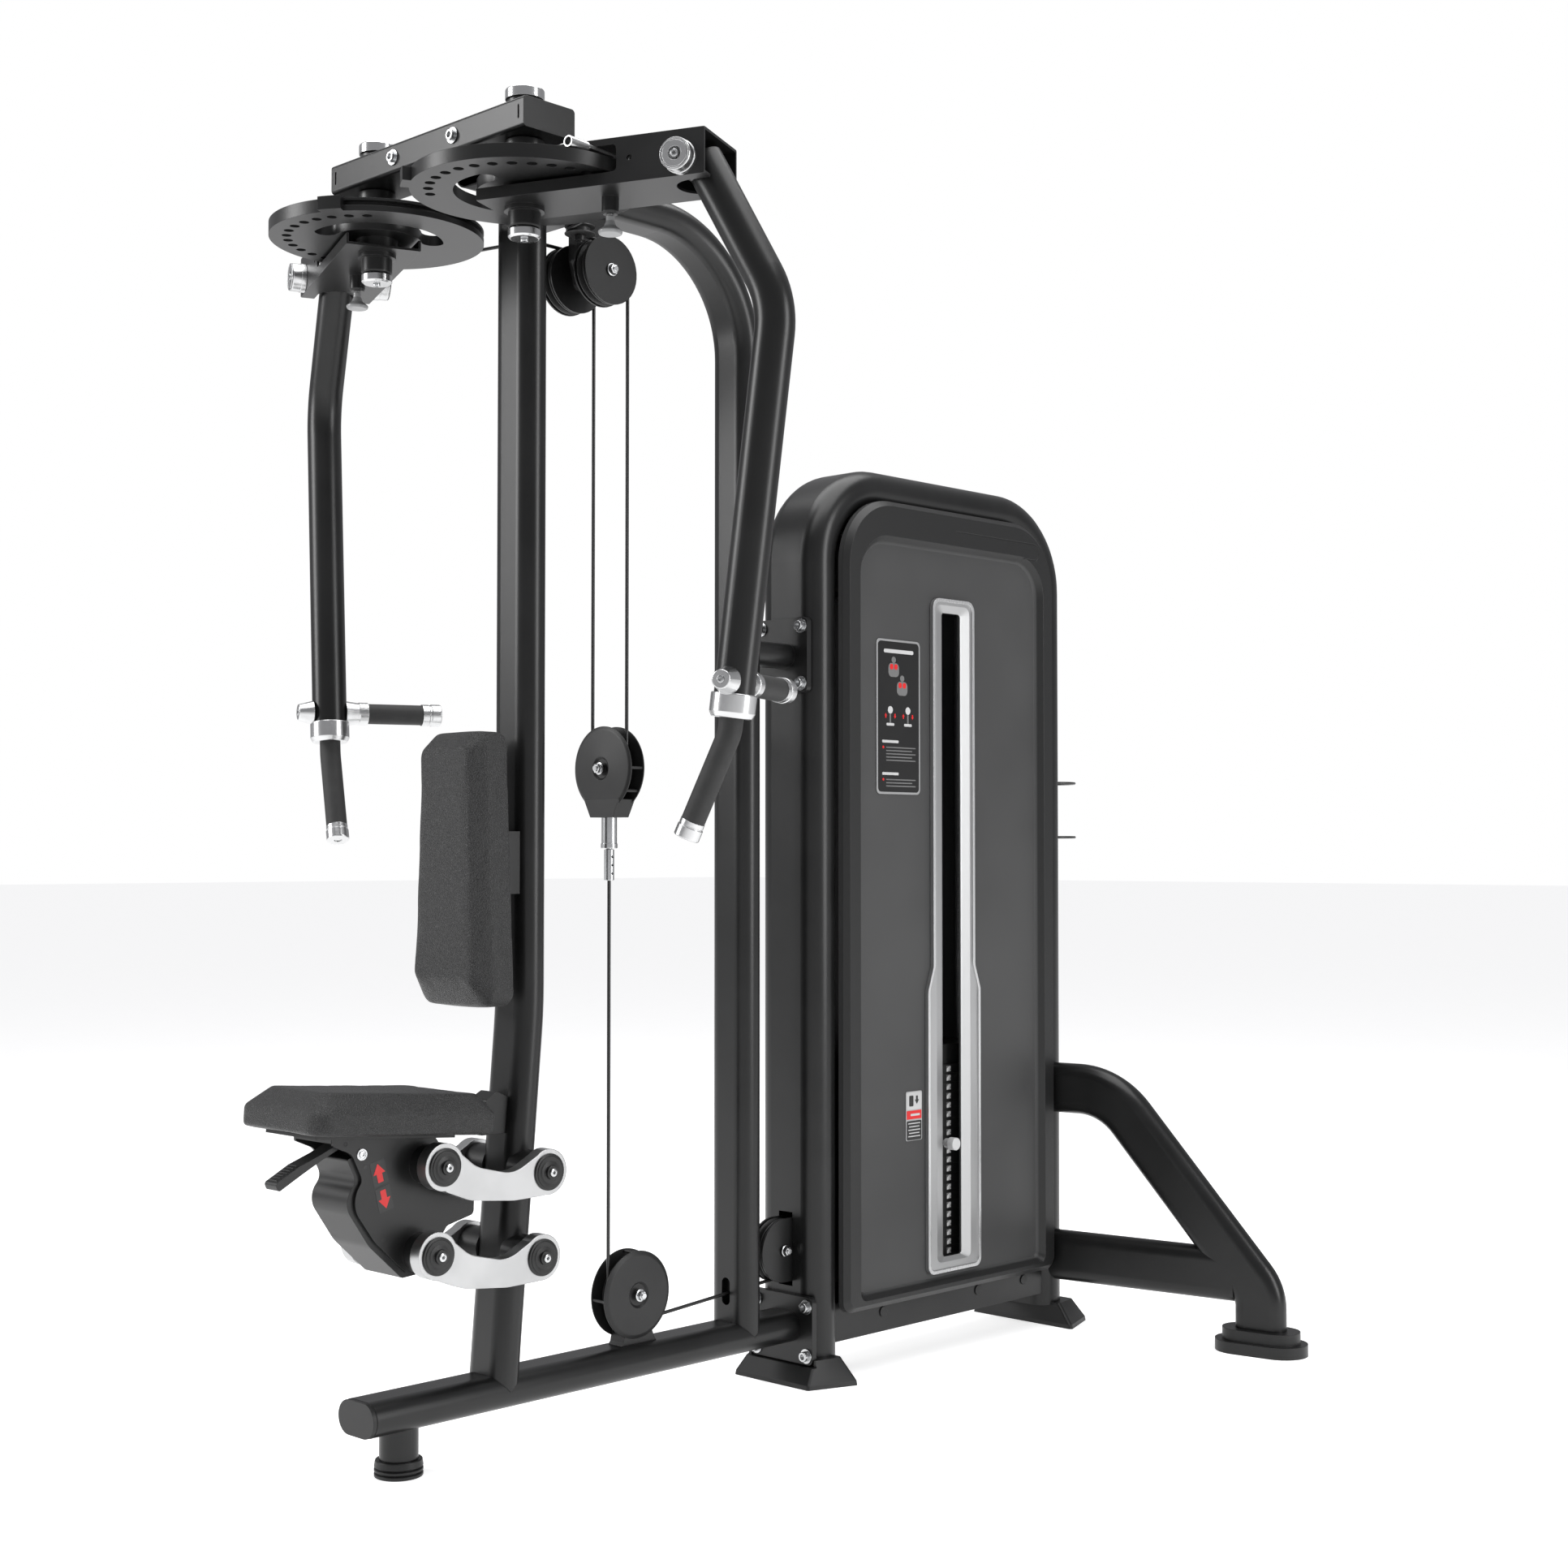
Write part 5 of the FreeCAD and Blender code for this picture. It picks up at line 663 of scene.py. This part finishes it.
def upholster(piece, body, node):
    """Remeshes the foam, blows the skin up against it for twenty steps and keeps the swell small."""
    remesh = piece.modifiers.new("even_mesh", "REMESH")
    remesh.mode = "VOXEL"
    remesh.voxel_size = 0.004
    soften = piece.modifiers.new("foam_edges", "SMOOTH")
    soften.factor = 0.5
    soften.iterations = 2
    settled(piece)
    foam = [v.co.copy() for v in piece.data.vertices]
    skin = piece.modifiers.new("skin", "CLOTH")
    skin.settings.quality = 6
    skin.settings.tension_stiffness = 30
    skin.settings.compression_stiffness = 30
    skin.settings.shear_stiffness = 12
    skin.settings.use_pressure = True
    skin.settings.uniform_pressure_force = 4
    skin.settings.effector_weights.gravity = 0
    for step in range(1, 21):
        bpy.context.scene.frame_set(step)
    settled(piece)
    for vertex, start in zip(piece.data.vertices, foam):
        move = vertex.co - start
        if move.length > SWELL:
            vertex.co = start + move * (SWELL / move.length)
    bpy.context.scene.frame_set(1)
    fine_skin = piece.modifiers.new("fine_skin", "SUBSURF")
    fine_skin.levels = 1
    fine_skin.render_levels = 1
    piece.data.polygons.foreach_set("use_smooth", [True] * len(piece.data.polygons))
    piece.data.materials.append(vinyl.material)
    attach(piece, body)
    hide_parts(node)


def plan(half_low, half_high, y_low, y_high, inset=0.0):
    """The corners of a tapered pad: half as wide as given at its low and at its high end."""
    low, high = half_low - inset, half_high - inset
    return [(-low, y_low + inset), (low, y_low + inset), (high, y_high - inset),
            (-high, y_high - inset)]


SEAT_PLACE = Matrix.Translation((0, 0, 0.526)) @ Matrix.Rotation(math.radians(-4.5), 4, "X")
SEAT_FOOT, SEAT_FACE = (109, 109, -219, 121), (74.5, 96, -187, 86)
seat_levels = [(0.5, plan(*SEAT_FOOT, 4.0), 26), (3.5, plan(*SEAT_FOOT, 1.0), 29),
               (31.5, plan(*SEAT_FOOT, 1.0), 29), (60.5, plan(*SEAT_FACE), 18)]
upholster(foam_block("seat_cushion", seat_levels, SEAT_PLACE), "seat_carriage", "seat_pad")

BACK_PLACE = Matrix.Rotation(math.radians(90), 4, "X")
BACK_FOOT, BACK_FACE = (94.5, 72.5, 708, 1144), (74, 59, 751, 1118)
back_levels = [(-159.5, plan(*BACK_FOOT, 4.0), 24), (-156.5, plan(*BACK_FOOT, 1.0), 26),
               (-117.0, plan(*BACK_FOOT, 1.0), 26), (-86.5, plan(*BACK_FACE), 16)]
upholster(foam_block("back_cushion", back_levels, BACK_PLACE), "frame", "back_pad")

# ---------------------------------------------------------------- floor, light and camera
# A plain pale floor under a white backdrop. The world shows white to the camera and fills the
# shadows with a dimmer grey, and three large soft boxes give the steel its long highlights.
floor_mesh = bpy.data.meshes.new("studio_floor")
floor_mesh.from_pydata([(-60, -60, 0), (60, -60, 0), (60, 60, 0), (-60, 60, 0)], [], [(0, 1, 2, 3)])
studio_floor = bpy.data.objects.new("studio_floor", floor_mesh)
bpy.context.scene.collection.objects.link(studio_floor)
floor_paint = shade("pale_floor", grey(0.80), grey(0.82), 0.80, 0.02, 60.0, 0.00002,
                    Emission_Strength=0.62, Emission_Color=(1.0, 1.0, 1.0, 1.0))
floor_mesh.materials.append(floor_paint.material)

world = bpy.data.worlds.new("studio")
bpy.context.scene.world = world
world.use_nodes = True
sky = world.node_tree
backdrop = sky.nodes["Background"]
backdrop.inputs["Color"].default_value = (1.0, 1.0, 1.0, 1.0)
fill = sky.nodes.new("ShaderNodeBackground")
fill.inputs["Color"].default_value = (0.36, 0.36, 0.37, 1.0)
either = sky.nodes.new("ShaderNodeMixShader")
sky.links.new(sky.nodes.new("ShaderNodeLightPath").outputs["Is Camera Ray"], either.inputs["Fac"])
sky.links.new(fill.outputs["Background"], either.inputs[1])
sky.links.new(backdrop.outputs["Background"], either.inputs[2])
sky.links.new(either.outputs["Shader"], sky.nodes["World Output"].inputs["Surface"])
bpy.context.scene.view_settings.view_transform = "Standard"


def soft_box(name, at, aim, width, height, power):
    lamp = bpy.data.lights.new(name, "AREA")
    lamp.shape = "RECTANGLE"
    lamp.size = width
    lamp.size_y = height
    lamp.energy = power
    lamp_object = bpy.data.objects.new(name, lamp)
    bpy.context.scene.collection.objects.link(lamp_object)
    lamp_object.location = at
    lamp_object.rotation_euler = (Vector(aim) - Vector(at)).to_track_quat("-Z", "Y").to_euler()


soft_box("key_box", (-2.6, -2.8, 2.8), (0, 0.6, 1.0), 1.4, 2.8, 110)
soft_box("side_box", (3.8, 1.9, 1.9), (0, 0.9, 0.9), 1.0, 3.0, 75)
soft_box("top_box", (0.2, 0.6, 4.4), (0, 0.8, 0.0), 4.0, 4.0, 190)

camera_data = bpy.data.cameras.new("studio_camera")
camera_data.sensor_width = 36
camera_data.lens = 50.32
camera = bpy.data.objects.new("studio_camera", camera_data)
bpy.context.scene.collection.objects.link(camera)
camera.location = (2.7704, -2.0177, 0.950)
camera.rotation_euler = (math.radians(91.808), 0, math.radians(43.946))
bpy.context.scene.camera = camera
